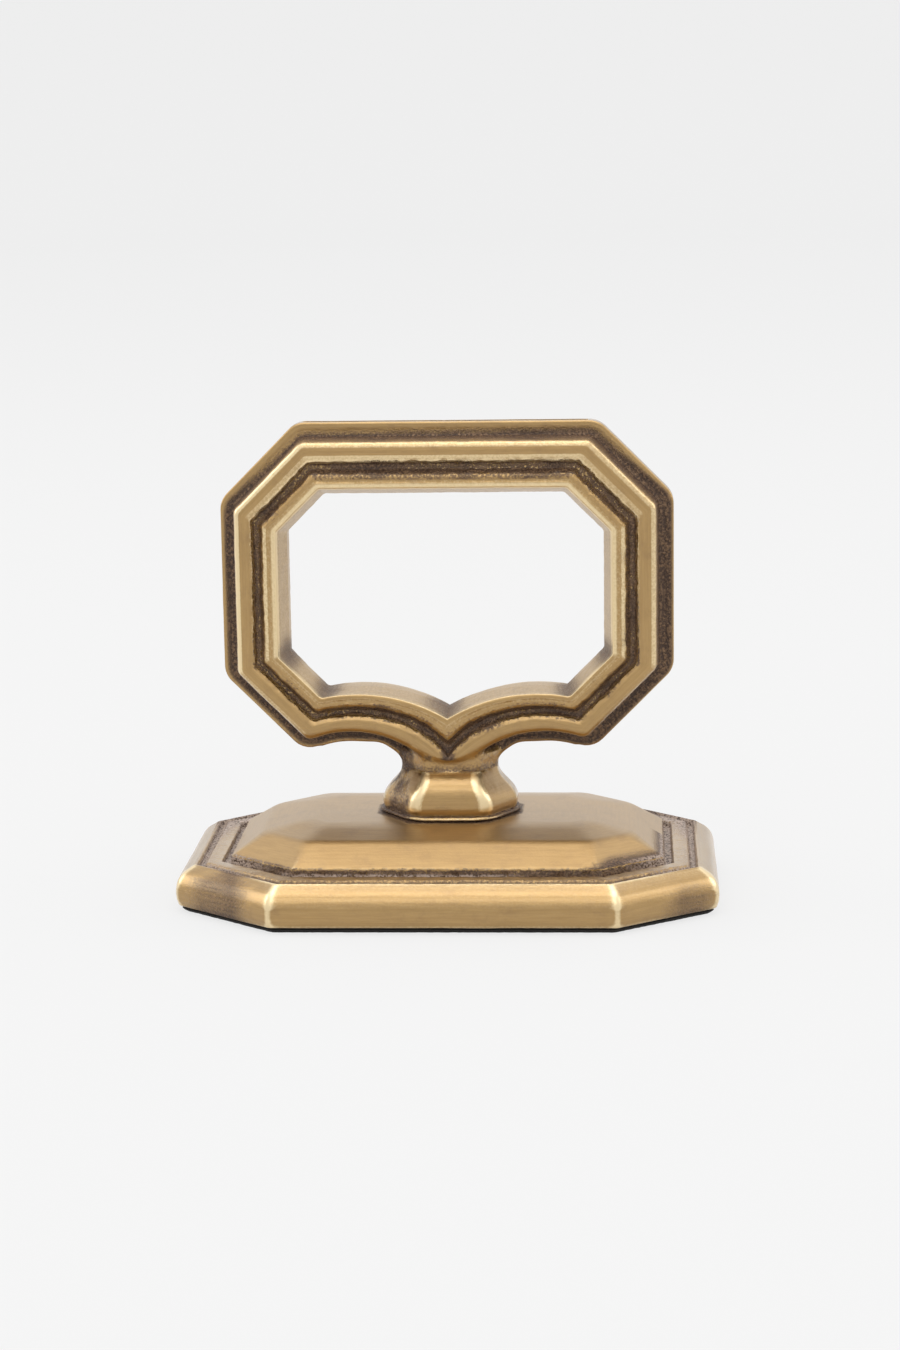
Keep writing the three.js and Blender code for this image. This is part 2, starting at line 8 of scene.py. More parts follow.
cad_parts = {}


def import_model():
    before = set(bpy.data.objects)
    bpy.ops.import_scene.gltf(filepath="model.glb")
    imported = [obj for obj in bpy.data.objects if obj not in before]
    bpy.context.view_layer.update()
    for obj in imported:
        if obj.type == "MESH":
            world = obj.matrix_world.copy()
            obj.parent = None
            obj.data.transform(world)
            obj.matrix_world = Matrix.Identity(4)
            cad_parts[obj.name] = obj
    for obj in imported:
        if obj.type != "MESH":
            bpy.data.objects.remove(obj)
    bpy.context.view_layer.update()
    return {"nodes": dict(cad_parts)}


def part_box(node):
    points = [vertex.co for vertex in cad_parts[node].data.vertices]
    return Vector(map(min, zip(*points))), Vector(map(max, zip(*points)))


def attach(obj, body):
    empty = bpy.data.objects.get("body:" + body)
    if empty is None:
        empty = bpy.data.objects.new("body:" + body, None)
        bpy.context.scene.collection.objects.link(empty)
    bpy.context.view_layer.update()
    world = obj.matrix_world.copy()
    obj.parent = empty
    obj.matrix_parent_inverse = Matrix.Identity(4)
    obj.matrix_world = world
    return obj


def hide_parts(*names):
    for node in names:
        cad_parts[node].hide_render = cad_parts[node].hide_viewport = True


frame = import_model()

# Shapes are worked out in millimetres and stored in metres. +Z is up and the front is towards -Y.
MM = 0.001


def box_mm(node):
    low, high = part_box(node)
    return np.array(low) / MM, np.array(high) / MM


ring_low, ring_high = box_mm("ring_casting")
base_low, base_high = box_mm("base_casting")
felt_low, felt_high = box_mm("felt_pad")

# Ring in elevation: an octagon whose bottom is two arched wings that meet in a valley
RING_WIDTH = ring_high[0] - ring_low[0]
RING_TOP_HEIGHT = ring_high[2]
# Filing by hand left the sides unlike. For each: the upper corner's leg, the lower corner's
# height, and how much wider its mouldings and its upper corner are
LEFT_HALF = (9.25, 26.5, 0.0, 0.0)
RIGHT_HALF = (8.85, 27.0, 0.35, 0.6)
RING_CORNER_RADIUS = 2.8
RING_CORNER_LEAST_RADIUS = 0.8
RING_CORNER_RADIUS_SHARE = 0.8
WING_RADIUS = 10.2
WING_CENTRE_X = 12.1
WING_TOP_HEIGHT = 18.2
WING_RADIUS_SHARE = 1.47
WING_CENTRE_SHARE = 0.2
WING_RISE_SHARE = 0.95
WING_STEEPEST = math.radians(42)
VALLEY_FLOOR_HEIGHT = 15.4
VALLEY_FLOOR_SHARE = 0.4
VALLEY_DROP = 0.5
VALLEY_DROP_REACH = 1.5
TOP_BAR_EXTRA = 0.4
OPENING_TOP_DROP = 0.1
OPENING_FLOOR_DROP = 0.7
OPENING_CORNER_SHARE = 0.7
BACK_FLOOR_DROP = 0.42
FLANGE_RELIEF = 0.5
FLANGE_RELIEF_PLACE = 8.0
FLANGE_RELIEF_REACH = 1.8

# Ring in section: how far in from the outermost edge each moulding is, and depths from face to face
FLANGE_DEPTH = 2.0
FLANGE_INSET = 1.7
MIDDLE_BAND_START = 2.1
MIDDLE_BAND_END = 4.15
MIDDLE_BAND_DEPTH = 9.3
GROOVE_DEPTH = 0.95
GROOVE_FLOOR_START = 4.42
GROOVE_FLOOR_END = 4.95
INNER_BAND_START = 5.3
INNER_BAND_END = 6.95
INNER_BAND_DEPTH = 10.4
OPENING_INSET = 7.99
OPENING_LAND_DEPTH = 2.0
MIDDLE_BAND_CROWN = 0.14
INNER_BAND_HOLLOW = 0.2

# Neck and foot
FOOT_WIDTH = 16.9
FOOT_DEPTH = ring_high[1] - ring_low[1]
FOOT_LIP_HEIGHT = 0.4
FOOT_LIP_OVERHANG = 0.28
WAIST_WIDTH = 11.6
WAIST_DEPTH = 8.6
WAIST_HEIGHT = 15.25
NECK_TOP_HEIGHT = 17.5
NECK_TOP_FLARE = 1.8
BREAST_BULGE = 0.15
BREAST_HALF_WIDTH = 2.7
FRONT_FACET_SHARE = 0.55
FRONT_FACET_SHIFT = 0.35
SIDE_FACET_SHARE = 0.2
FOOT_LIP_SOFTNESS = 0.12
TENON_HEIGHT = 2.0
FOOT_SINK = 0.2  # into the seat, so that no light shows between them
FOOT_UNDERSIDE = ring_low[2] + TENON_HEIGHT - FOOT_SINK

# Base in plan and section
BASE_WIDTH = base_high[0] - base_low[0]
BASE_DEPTH = base_high[1] - base_low[1]
BASE_UNDERSIDE = base_low[2]
SEAT_HEIGHT = base_high[2]
# Run of each corner cut along the front and along the side: front right, back right, back left and
# front left
BASE_CORNERS = ((11.9, 9.1), (12.1, 11.6), (12.1, 11.6), (12.1, 10.3))
RIM_HEIGHT = 4.95
RIM_WIDTH = 2.45
RIM_TUCK = 0.35
RIM_BELLY_HEIGHT = 1.8
RIM_BEND_INSET = 0.3
RIM_BEND_DROP = 1.3
OUTER_GROOVE_WIDTH = 1.2
OUTER_GROOVE_DEPTH = 0.65
STEP_BAND_WIDTH = 1.7
INNER_GROOVE_WIDTH = 1.2
INNER_GROOVE_DEPTH = 0.55
DOME_STEP = 0.65
DOME_FACET_WIDTH = 3.6
DOME_FACET_RISE = 2.35
DOME_SHOULDER_WIDTH = 5.0
SEAT_INSET = 17.2
SEAT_LEAST_SHARE = 0.24
SEAT_ROWS = 24

# Fineness of the skins: the widest spacing along an outline and along a section, and how many
# points the bends and the sides of each outline get
SPAN = 0.3
SECTION_SPAN = 0.3
BEND_STEPS = 5
BEND_STEPS_PER_MM = 3
CORNER_STEPS = 6
WING_STEPS = 60
RING_SPANS = [round(length / SPAN) for length in (17.4, 11.5, 19.0, 9.5, 16.5)]
NECK_SPANS = [22, 8, 22, 34] * 2
BELL_ROWS = 34
NECK_TOP_ROWS = 12
BASE_SPANS = [48, 66, 48, 120] * 2

# Unevenness of the surface: how far it moves the skin, and how wide its waves are
HAND_WAVE, HAND_WAVE_CELL = 0.03, 4.5
GRIT, GRIT_CELL = 0.06, 0.6
SCALLOP, SCALLOP_CELL = 0.05, 1.7
RAGGED, RAGGED_CELL = 0.1, 0.55

# What a skin carries at each point: patina, metal rubbed bright together with painted highlights,
# and roughness as cast
SIGNS = ("patina", "wear_and_highlight", "rough")


# Smooth noise on a lattice of seeded values

def lattice_values(cells, seed):
    table = np.random.default_rng(seed).uniform(-1, 1, 8192)
    mixed = cells[:, 0] * 73856093 ^ cells[:, 1] * 19349663 ^ cells[:, 2] * 83492791
    return table[mixed % len(table)]


def noise(points, cell, seed):
    """Smooth noise between -1 and 1 at each point."""
    scaled = points / cell
    low = np.floor(scaled).astype(np.int64)
    share = scaled - low
    share = share * share * (3 - 2 * share)
    total = np.zeros(len(points))
    for corner in range(8):
        step = np.array([corner & 1, corner >> 1 & 1, corner >> 2 & 1])
        weight = np.prod(np.where(step == 1, share, 1 - share), axis=1)
        total += weight * lattice_values(low + step, seed)
    return total


def grid_noise(grid, cell, seed):
    """The same for a grid of points."""
    return noise(grid.reshape(-1, 3), cell, seed).reshape(grid.shape[:2])


def rugged(points, cell, seed):
    """Noise with finer noise on it, half as wide and half as strong."""
    return (noise(points, cell, seed) + noise(points, cell / 2, seed + 1) / 2) / 1.5


# Paths

def bend_at(before, corner, after, radius, steps):
    """The corner of a path as an arc that touches both legs."""
    incoming = (corner - before) / np.linalg.norm(corner - before)
    outgoing = (after - corner) / np.linalg.norm(after - corner)
    sine = incoming[0] * outgoing[1] - incoming[1] * outgoing[0]
    turn = math.atan2(sine, float(incoming @ outgoing))
    reach = radius * math.tan(abs(turn) / 2)
    side = np.array([-incoming[1], incoming[0]]) * math.copysign(1, turn)
    angles = np.linspace(0, abs(turn), steps + 1)[:, None]
    start = corner - incoming * reach
    return start + incoming * radius * np.sin(angles) + side * radius * (1 - np.cos(angles))


def straight(start, end, count):
    """count points from start towards end, without the end."""
    shares = np.linspace(0, 1, count, endpoint=False)[:, None]
    return start + (end - start) * shares


def path_lengths(points):
    """How far along a path each of its points is."""
    steps = np.linalg.norm(np.diff(points, axis=0), axis=1)
    return np.concatenate([[0], np.cumsum(steps)])


def loop_lengths(points):
    return path_lengths(np.concatenate([points, points[:1]]))[:-1]


def evenly(path, count):
    """count points spread evenly over a path, from its first to its last."""
    along = path_lengths(path)
    places = np.linspace(0, along[-1], count)
    return np.stack([np.interp(places, along, path[:, i]) for i in (0, 1)], axis=1)


def rounded_section(stops):
    """Points of a section through (x, y, rounding, patina, wear, roughness) stops, as rows that
    carry the last three values along."""
    stops = np.array(stops, float)
    places = stops[:, :2]
    rows = []
    for i, stop in enumerate(stops):
        if 0 < i < len(stops) - 1 and stop[2] > 0:
            steps = max(BEND_STEPS, round(stop[2] * BEND_STEPS_PER_MM))
            arc = bend_at(*places[i - 1 : i + 2], stop[2], steps)
        else:
            arc = places[i : i + 1]
        if rows:
            gap = np.linalg.norm(arc[0] - rows[-1][:2])
            count = max(int(math.ceil(gap / SECTION_SPAN)), 1)
            for k in range(1, count):
                rows.append(rows[-k] + (np.concatenate([arc[0], stop[3:]]) - rows[-k]) * k / count)
        rows.extend(np.concatenate([point, stop[3:]]) for point in arc)
    return np.array(rows)


def on_level(outline, height):
    """An outline in plan as points at one height."""
    return np.insert(outline, 2, height, axis=1)


def upright(outline, y):
    """An outline in elevation as points at one distance from the middle."""
    return np.insert(outline, 1, y, axis=1)


# Skins: a grid of points, rows along the section and columns along the outline

def placed(name, data):
    """A new object in the scene."""
    item = bpy.data.objects.new(name, data)
    bpy.context.scene.collection.objects.link(item)
    return item


def set_values(mesh, values):
    """Stores a number per point under each name, or for run a vector."""
    for key, value in values.items():
        if key in mesh.attributes:
            mesh.attributes.remove(mesh.attributes[key])
        kind, field = ("FLOAT_VECTOR", "vector") if key == "run" else ("FLOAT", "value")
        mesh.attributes.new(key, kind, "POINT").data.foreach_set(field, value.ravel())


def get_values(mesh, key):
    width, field = (3, "vector") if key == "run" else (1, "value")
    flat = np.empty(len(mesh.vertices) * width)
    mesh.attributes[key].data.foreach_get(field, flat)
    return flat.reshape(-1, 3) if width == 3 else flat


def skin_object(name, grid, values, run, closed_rows):
    """A closed mesh from a grid whose columns go round. Its rows close as well or end in caps."""
    rows, columns = grid.shape[:2]
    here = np.arange(rows * columns).reshape(rows, columns)
    spans = rows if closed_rows else rows - 1
    beside = np.roll(here, -1, axis=1)
    corners = [here, beside, np.roll(beside, -1, axis=0), np.roll(here, -1, axis=0)]
    faces = np.stack(corners, axis=-1)[:spans].reshape(-1, 4).tolist()
    if not closed_rows:
        faces += [here[0][::-1].tolist(), here[-1].tolist()]
    mesh = bpy.data.meshes.new(name)
    mesh.from_pydata(grid.reshape(-1, 3).tolist(), [], faces)
    set_values(mesh, {**values, "run": run})
    return placed(name, mesh)


def plain_object(name, grid):
    """A closed mesh without signs of age, with caps at its first and last row."""
    zero = {key: np.zeros(grid.shape[:2]) for key in SIGNS}
    return skin_object(name, grid, zero, np.zeros(grid.shape), False)


def grid_normals(grid, closed_rows):
    """Unit normals of a grid, to the right of a step along the columns seen from outside."""
    along = np.roll(grid, -1, axis=1) - np.roll(grid, 1, axis=1)
    rolled = np.roll(grid, -1, axis=0) - np.roll(grid, 1, axis=0)
    across = rolled if closed_rows else np.gradient(grid, axis=0)
    normals = np.cross(along, across)
    return normals / np.maximum(np.linalg.norm(normals, axis=2, keepdims=True), 1e-9)


def weathered(grid, closed_rows, values, seed):
    """The grid with faint waves of filing by hand, and the grit of casting where it is rough."""
    flat = grid.reshape(-1, 3)
    normals = grid_normals(grid, closed_rows).reshape(-1, 3)
    rough = values["rough"].reshape(-1)
    waves = rugged(flat, HAND_WAVE_CELL, seed) * HAND_WAVE
    grit = rugged(flat, GRIT_CELL, seed + 10) * GRIT * rough
    scallops = rugged(flat, SCALLOP_CELL, seed + 20) * SCALLOP * rough
    moved = flat + normals * (waves + grit + scallops)[:, None]
    for axis in range(3):
        moved[:, axis] += noise(flat, RAGGED_CELL, seed + 30 + axis) * RAGGED * rough
    return moved.reshape(grid.shape)


# Ring skin

def reached(value, first, last):
    """How much of a change that runs from one value to another is reached."""
    return np.clip((value - first) / (last - first), 0, 1)


def hump(distance, reach):
    """1 at no distance, next to nothing at twice the reach."""
    return np.exp(-((distance / reach) ** 2))


def floor_drop(inset):
    return OPENING_FLOOR_DROP * reached(inset, INNER_BAND_END, OPENING_INSET)


def top_drop(inset):
    bar = TOP_BAR_EXTRA * reached(inset, MIDDLE_BAND_START, INNER_BAND_START)
    return bar + OPENING_TOP_DROP * reached(inset, INNER_BAND_END, OPENING_INSET)


def wing_arch(inset):
    """Centre and radius of the right wing's arch."""
    radius = WING_RADIUS + WING_RADIUS_SHARE * inset
    x = WING_CENTRE_X - WING_CENTRE_SHARE * inset
    z = WING_TOP_HEIGHT + WING_RISE_SHARE * inset - radius - floor_drop(inset)
    return x, z, radius


def wing_end(arch, cut):
    """Where the lower corner cut, on which x - z is fixed, meets the arch beyond its crown."""
    x, z, radius = arch
    distance = (x - z - cut) / math.sqrt(2)
    middle = (x + z + cut) / 2 + math.sqrt(radius ** 2 - distance ** 2) / math.sqrt(2)
    return np.array([middle, middle - cut])


def wing_path(arch, start, inset, count):
    x, z, radius = arch
    first = math.atan2(start[0] - x, start[1] - z)
    slope = min(math.asin(min(x / radius, 1)), WING_STEEPEST)
    angles = np.linspace(first, -slope, WING_STEPS)
    path = np.stack([x + radius * np.sin(angles), z + radius * np.cos(angles)], axis=1)
    valley = path[-1][1] - path[-1][0] * math.tan(slope)
    floor = VALLEY_FLOOR_HEIGHT + VALLEY_FLOOR_SHARE * inset - floor_drop(inset)
    path = np.concatenate([path, [[0, max(valley, floor)]]])
    return evenly(path, count)


def lower_cut_line(inset, lower_height):
    """The value of x - z on the lower corner cut."""
    drop = floor_drop(inset) * OPENING_CORNER_SHARE
    return RING_WIDTH / 2 - lower_height - inset * math.sqrt(2) + drop


def half_outline(inset, upper_leg, lower_height, side_extra, corner_extra):
    """Half of the ring in elevation, from the top's middle down the side to the valley."""
    widened = reached(inset, FLANGE_INSET / 2, INNER_BAND_START)
    side = RING_WIDTH / 2 - inset - side_extra * widened
    top = RING_TOP_HEIGHT - inset - top_drop(inset)
    upper_cut = RING_WIDTH / 2 + RING_TOP_HEIGHT - upper_leg - inset * math.sqrt(2)
    upper_cut = upper_cut - top_drop(inset) - corner_extra * math.sqrt(2) * widened
    lower_cut = lower_cut_line(inset, lower_height)
    arch = wing_arch(inset)
    end = wing_end(arch, lower_cut)
    tangent = np.array([arch[1] - end[1], end[0] - arch[0]])
    corners = np.array([
        (0, top), (upper_cut - top, top), (side, upper_cut - side), (side, side - lower_cut),
        end, end + tangent,
    ])
    radius = max(RING_CORNER_RADIUS - RING_CORNER_RADIUS_SHARE * inset, RING_CORNER_LEAST_RADIUS)
    half = []
    start = corners[0]
    for i, count in zip(range(1, 5), RING_SPANS):
        bend = bend_at(*corners[i - 1 : i + 2], radius, CORNER_STEPS)
        half += [straight(start, bend[0], count), bend[:-1]]
        start = bend[-1]
    half.append(wing_path(arch, start, inset, RING_SPANS[4]))
    half = np.concatenate(half)
    low = half[:, 1] < lower_height
    relief = FLANGE_RELIEF * (1 - reached(inset, 0.3, FLANGE_INSET))
    half[:, 1] += low * relief * hump(half[:, 0] - FLANGE_RELIEF_PLACE, FLANGE_RELIEF_REACH)
    drop = VALLEY_DROP * reached(inset, 2.6, MIDDLE_BAND_END)
    drop *= 1 - reached(inset, INNER_BAND_START, 6.6)
    half[:, 1] -= low * drop * hump(half[:, 0], VALLEY_DROP_REACH)
    return half


def ring_outline(inset):
    """The ring's outline moved inwards by an inset: down the right side and up the left side."""
    left, right = half_outline(inset, *LEFT_HALF), half_outline(inset, *RIGHT_HALF)
    return np.concatenate([right, left[-2:0:-1] * (-1, 1)])


def moulding_section():
    flange = FLANGE_DEPTH / 2
    middle = MIDDLE_BAND_DEPTH / 2
    inner = INNER_BAND_DEPTH / 2
    floor = middle - GROOVE_DEPTH
    crown = middle + MIDDLE_BAND_CROWN
    # The wear column is rubbed-bright metal that also paints highlights along the bands' edges,
    # brightest on the inner band's inner edge.
    return rounded_section([
        (0, 0, 0, 0.25, 0, 0.1),
        (0, flange, 0.25, 0.15, 0.3, 0.05),
        (0.5, flange, 0, 0.45, 0, 0.05),
        (1.1, flange - 0.08, 0, 0.85, 0, 0.2),
        (FLANGE_INSET, flange, 0.3, 1.0, 0, 0.4),
        (MIDDLE_BAND_START - 0.12, middle - 0.5, 0.25, 0.5, 0.2, 0.3),
        (MIDDLE_BAND_START + 0.15, middle - 0.02, 0.6, 0, 0.75, 0.2),
        (MIDDLE_BAND_START + 0.9, crown, 1.6, 0, 0.05, 0),
        (MIDDLE_BAND_END - 0.55, middle + 0.06, 0.9, 0, 0.3, 0.15),
        (MIDDLE_BAND_END - 0.1, middle - 0.2, 0.3, 0.1, 0.55, 0.8),
        (GROOVE_FLOOR_START - 0.05, floor + 0.2, 0.2, 0.8, 0, 1.0),
        (GROOVE_FLOOR_END - 0.05, floor + 0.1, 0.4, 0.75, 0, 1.0),
        (INNER_BAND_START - 0.02, inner - 0.55, 0.3, 0.6, 0, 1.0),
        (INNER_BAND_START + 0.3, inner - 0.1, 0.45, 0.05, 0.8, 0.5),
        (INNER_BAND_START + 0.85, inner - INNER_BAND_HOLLOW, 0.8, 0, 0.45, 0.3),
        (INNER_BAND_END - 0.35, inner, 0.6, 0, 0.55, 0.1),
        (INNER_BAND_END + 0.05, inner - 0.2, 0.3, 0, 1.0, 0.1),
        (INNER_BAND_END + 0.3, inner - 0.9, 0, 0.05, 0.5, 0.2),
        (OPENING_INSET, OPENING_LAND_DEPTH / 2, 0.8, 0.1, 0.5, 0.2),
        (OPENING_INSET, 0, 0, 0.1, 0.5, 0.2),
    ])


def ring_skin():
    front = moulding_section()
    back = front[-2:0:-1] * (1, -1, 1, 1, 1)
    section = np.concatenate([front, back])
    grid = np.stack([upright(ring_outline(inset), depth) for inset, depth in section[:, :2]])
    values = section_values(section, grid.shape[1])
    edge = reached(section[:, 0], INNER_BAND_START + 0.3, INNER_BAND_END) * (section[:, 1] > 0.5)
    grid[..., 2] -= BACK_FLOOR_DROP * edge[:, None] * reached(grid[..., 2], 31, 27)
    age_ring(grid, section, values)
    half = path_lengths(ring_outline(0)[: grid.shape[1] // 2 + 1])
    run = run_vectors(there_and_back(half), there_and_back(path_lengths(front[:, :2])))
    opening = section[:, 0] > INNER_BAND_END + 0.2
    run[opening] = run[opening][:, :, [1, 0, 2]]
    grid = weathered(grid, True, values, 1)
    return skin_object("ring_skin", grid, values, run, True)


def section_values(section, columns):
    """The three signs of age of each stop, for all columns of the grid."""
    return {key: np.outer(signs, np.ones(columns)) for key, signs in zip(SIGNS, section[:, 2:].T)}


def there_and_back(lengths):
    return np.concatenate([lengths, lengths[-2:0:-1]])


def run_vectors(along, across):
    """Millimetres along the moulding and across it, for what was brushed along it."""
    a, b = np.meshgrid(along, across)
    return np.stack([a, b, np.zeros_like(a)], axis=-1)


def near(grid, x, z, reach):
    """1 at a place in elevation, on either side of the middle, falling to 0 with distance."""
    return hump(np.hypot(np.abs(grid[..., 0]) - x, grid[..., 2] - z), reach)


def age_ring(grid, section, values):
    """Patina that polishing by hand left: less on the upper flange, more in the opening's lower
    corners and along the lower bars. The bands' edges get painted highlights and painted shade by
    where they lie on the ring."""
    patina, wear_and_highlight, rough = (values[key] for key in SIGNS)
    inset = section[:, :1]
    height = grid[..., 2]
    flange = inset < FLANGE_INSET - 0.2
    upper = reached(height, 46, 53)
    right = np.clip(grid[..., 0] / 20, -1, 1)
    patina += flange * (inset > 0.15) * (0.3 - 0.6 * upper + 0.15 * right)
    wear_and_highlight += (inset < 0.3) * 0.1 * upper
    wall = inset > INNER_BAND_END
    lower_cut = lower_cut_line(OPENING_INSET, LEFT_HALF[1])
    side = RING_WIDTH / 2 - OPENING_INSET
    end = wing_end(wing_arch(OPENING_INSET), lower_cut)
    valley = ring_outline(OPENING_INSET)[:, 1].min()
    corners = near(grid, side, side - lower_cut, 2.4) + near(grid, *end, 2.4)
    patina += wall * 0.6 * (corners + near(grid, 0, valley, 3.0))
    crusty = (inset > MIDDLE_BAND_START + 0.5) * (inset < INNER_BAND_START)
    groove_valley = ring_outline(MIDDLE_BAND_END)[:, 1].min()
    patina += crusty * 0.8 * near(grid, 0.2, groove_valley - 0.5, 1.0)
    step = np.roll(grid, -1, axis=1) - np.roll(grid, 1, axis=1)
    length = np.maximum(np.hypot(step[..., 0], step[..., 2]), 1e-9)
    up, east = step[..., 0] / length, -step[..., 2] / length
    over, under = np.clip(up, 0, 1), np.clip(-up, 0, 1)
    # The two edges of the middle band and the two of the inner one
    first = (inset > MIDDLE_BAND_START - 0.2) * (inset < MIDDLE_BAND_START + 0.8)
    second = (inset >= MIDDLE_BAND_START + 0.8) * (inset < GROOVE_FLOOR_START)
    third = (inset > GROOVE_FLOOR_END) * (inset < INNER_BAND_START + 0.75)
    fourth = (inset > INNER_BAND_END - 0.5) * (inset < INNER_BAND_END + 0.2)
    # Painted highlights and shade on the bands' edges, by where they lie on the ring: the middle
    # band's outer edge brighter on the left side and on the top, its inner edge brighter on the
    # top, and the inner band's inner edge brighter all round; on the top and the lower bars the
    # rubbed-bright metal of the edges is toned down, and the inner band's outer edge gets painted
    # shade.
    wear_and_highlight *= 1 - first * (0.5 * over + 0.7 * under) - second * under - 0.95 * third * (over + under)
    wear_and_highlight -= 0.6 * fourth * under
    wear_and_highlight += (0.35 * np.clip(-east, 0, 1) + 0.25 * over) * first * (wear_and_highlight > 0.3)
    wear_and_highlight += 0.45 * second * over * (wear_and_highlight > 0.2) + 0.3 * fourth
    patina += third * (0.45 * over ** 3 + 0.25 * under)
    lower = reached(height, 31, 26) * (0.6 + 0.4 * right)
    beside = hump(inset - MIDDLE_BAND_END, 0.75) * (inset < GROOVE_FLOOR_END)
    darkening = reached(grid_noise(grid, 2.2, 55), -0.6, 0.5)
    patina += lower * beside * darkening * 0.45
    wear_and_highlight *= 1 - lower * beside
    np.maximum(rough, 0.8 * lower * beside, out=rough)
    stain = grid_noise(grid, 2.6, 51)
    patina += np.clip(stain - 0.1, 0, 1) * 0.9 * rough * (inset > FLANGE_INSET)
    values["satin"] = wall * np.ones(height.shape)


# Neck skin

def neck_outline(width, depth, radius):
    """Eight sides with soft corners, counter-clockwise from the front facet's right end."""
    x, y = width / 2, depth / 2
    front, side = x * FRONT_FACET_SHARE, y * SIDE_FACET_SHARE
    left, right = FRONT_FACET_SHIFT - front, FRONT_FACET_SHIFT + front
    corners = np.array([
        (right, -y), (x, -side), (x, side), (right, y),
        (left, y), (-x, side), (-x, -side), (left, -y),
    ])
    return closed_outline(corners, radius, NECK_SPANS)


def closed_outline(corners, radius, spans):
    """A polygon with rounded corners; spans counts the points on the side after each corner."""
    before, after = np.roll(corners, 1, axis=0), np.roll(corners, -1, axis=0)
    bends = [bend_at(*three, radius, CORNER_STEPS) for three in zip(before, corners, after)]
    path = []
    for bend, following, count in zip(bends, bends[1:] + bends[:1], spans):
        path += [bend[:-1], straight(bend[-1], following[0], count)]
    return np.concatenate(path)


# Shares of the bell's height, of its spread to the sides and of its spread to the front
BELL_SHARES = [
    (0, 0.93, 0.91), (0.1, 0.99, 0.97), (0.2, 1, 1), (0.3, 0.95, 1), (0.42, 0.81, 0.99),
    (0.55, 0.58, 0.94), (0.68, 0.32, 0.83), (0.8, 0.13, 0.64), (0.9, 0.04, 0.4), (0.96, 0.01, 0.18),
    (1, 0, 0),
]


def smooth_through(xs, ys, places):
    """A curve through points without overshoot."""
    slopes = np.diff(ys) / np.diff(xs)
    tangents = np.zeros(len(xs))
    tangents[1:-1] = (slopes[:-1] + slopes[1:]) / 2 * (slopes[:-1] * slopes[1:] > 0)
    tangents[0], tangents[-1] = slopes[0], slopes[-1]
    cell = np.clip(np.searchsorted(xs, places) - 1, 0, len(slopes) - 1)
    width = xs[cell + 1] - xs[cell]
    t = (places - xs[cell]) / width
    level = ys[cell] * (1 + 2 * t) * (1 - t) ** 2 + ys[cell + 1] * t * t * (3 - 2 * t)
    return level + width * t * (1 - t) * (tangents[cell] * (1 - t) - tangents[cell + 1] * t)


def neck_section():
    """Rows of width, depth, height, corner radius, patina, wear and roughness, from the foot up."""
    lip_top = FOOT_UNDERSIDE + FOOT_LIP_HEIGHT
    foot, waist = np.array([FOOT_WIDTH, FOOT_DEPTH]), np.array([WAIST_WIDTH, WAIST_DEPTH])
    bell = foot - 2 * FOOT_LIP_OVERHANG
    soft = FOOT_LIP_SOFTNESS
    rows = [
        (*foot - 2 * soft, FOOT_UNDERSIDE, 4.1, 1, 0, 0.1),
        (*foot, FOOT_UNDERSIDE + soft, 4.2, 0.7, 0.1, 0.3),
        (*foot, lip_top - soft, 4.2, 0.1, 0.7, 0.4),
        (*foot - 2 * soft, lip_top, 4, 0.3, 0.5, 0.4),
        (*bell - 3 * soft, lip_top + soft / 2, 2.4, 0.9, 0, 0.5),
    ]
    heights, *spreads = np.array(BELL_SHARES).T
    shares = np.linspace(0, 1, BELL_ROWS)
    spreads = [smooth_through(heights, spread, shares) for spread in spreads]
    for share, spread in zip(shares, np.transpose(spreads)):
        rows.append((
            *waist + (bell - waist) * spread,
            lip_top + soft + (WAIST_HEIGHT - lip_top - soft) * share,
            1.3 + 0.8 * (1 - share),
            max(0, 0.6 - 7 * share) + max(0, share - 0.9) * 6,
            0,
            0.1 + max(0, share - 0.93) * 6,
        ))
    for share in np.linspace(0, 1, NECK_TOP_ROWS)[1:]:
        rounding = 1 - math.sqrt(1 - (0.98 * share) ** 6)
        rows.append((
            WAIST_WIDTH + NECK_TOP_FLARE * share ** 2 - 2.2 * rounding,
            WAIST_DEPTH - 1.4 * rounding,
            WAIST_HEIGHT + (NECK_TOP_HEIGHT - WAIST_HEIGHT) * share,
            1.2, max(0.3, 0.65 - share), 0, 0.3,
        ))
    return np.array(rows)


FULL_CREASE = math.radians(26)


def creases(grid, reach=3):
    """0 to 1 for how sharply the outline turns at each point."""
    before = grid - np.roll(grid, reach, axis=1)
    after = np.roll(grid, -reach, axis=1) - grid
    lengths = np.linalg.norm(before, axis=2) * np.linalg.norm(after, axis=2)
    cosine = (before * after).sum(axis=2) / np.maximum(lengths, 1e-9)
    turn = np.arccos(np.clip(cosine, -1, 1))
    return np.clip(turn / FULL_CREASE, 0, 1)


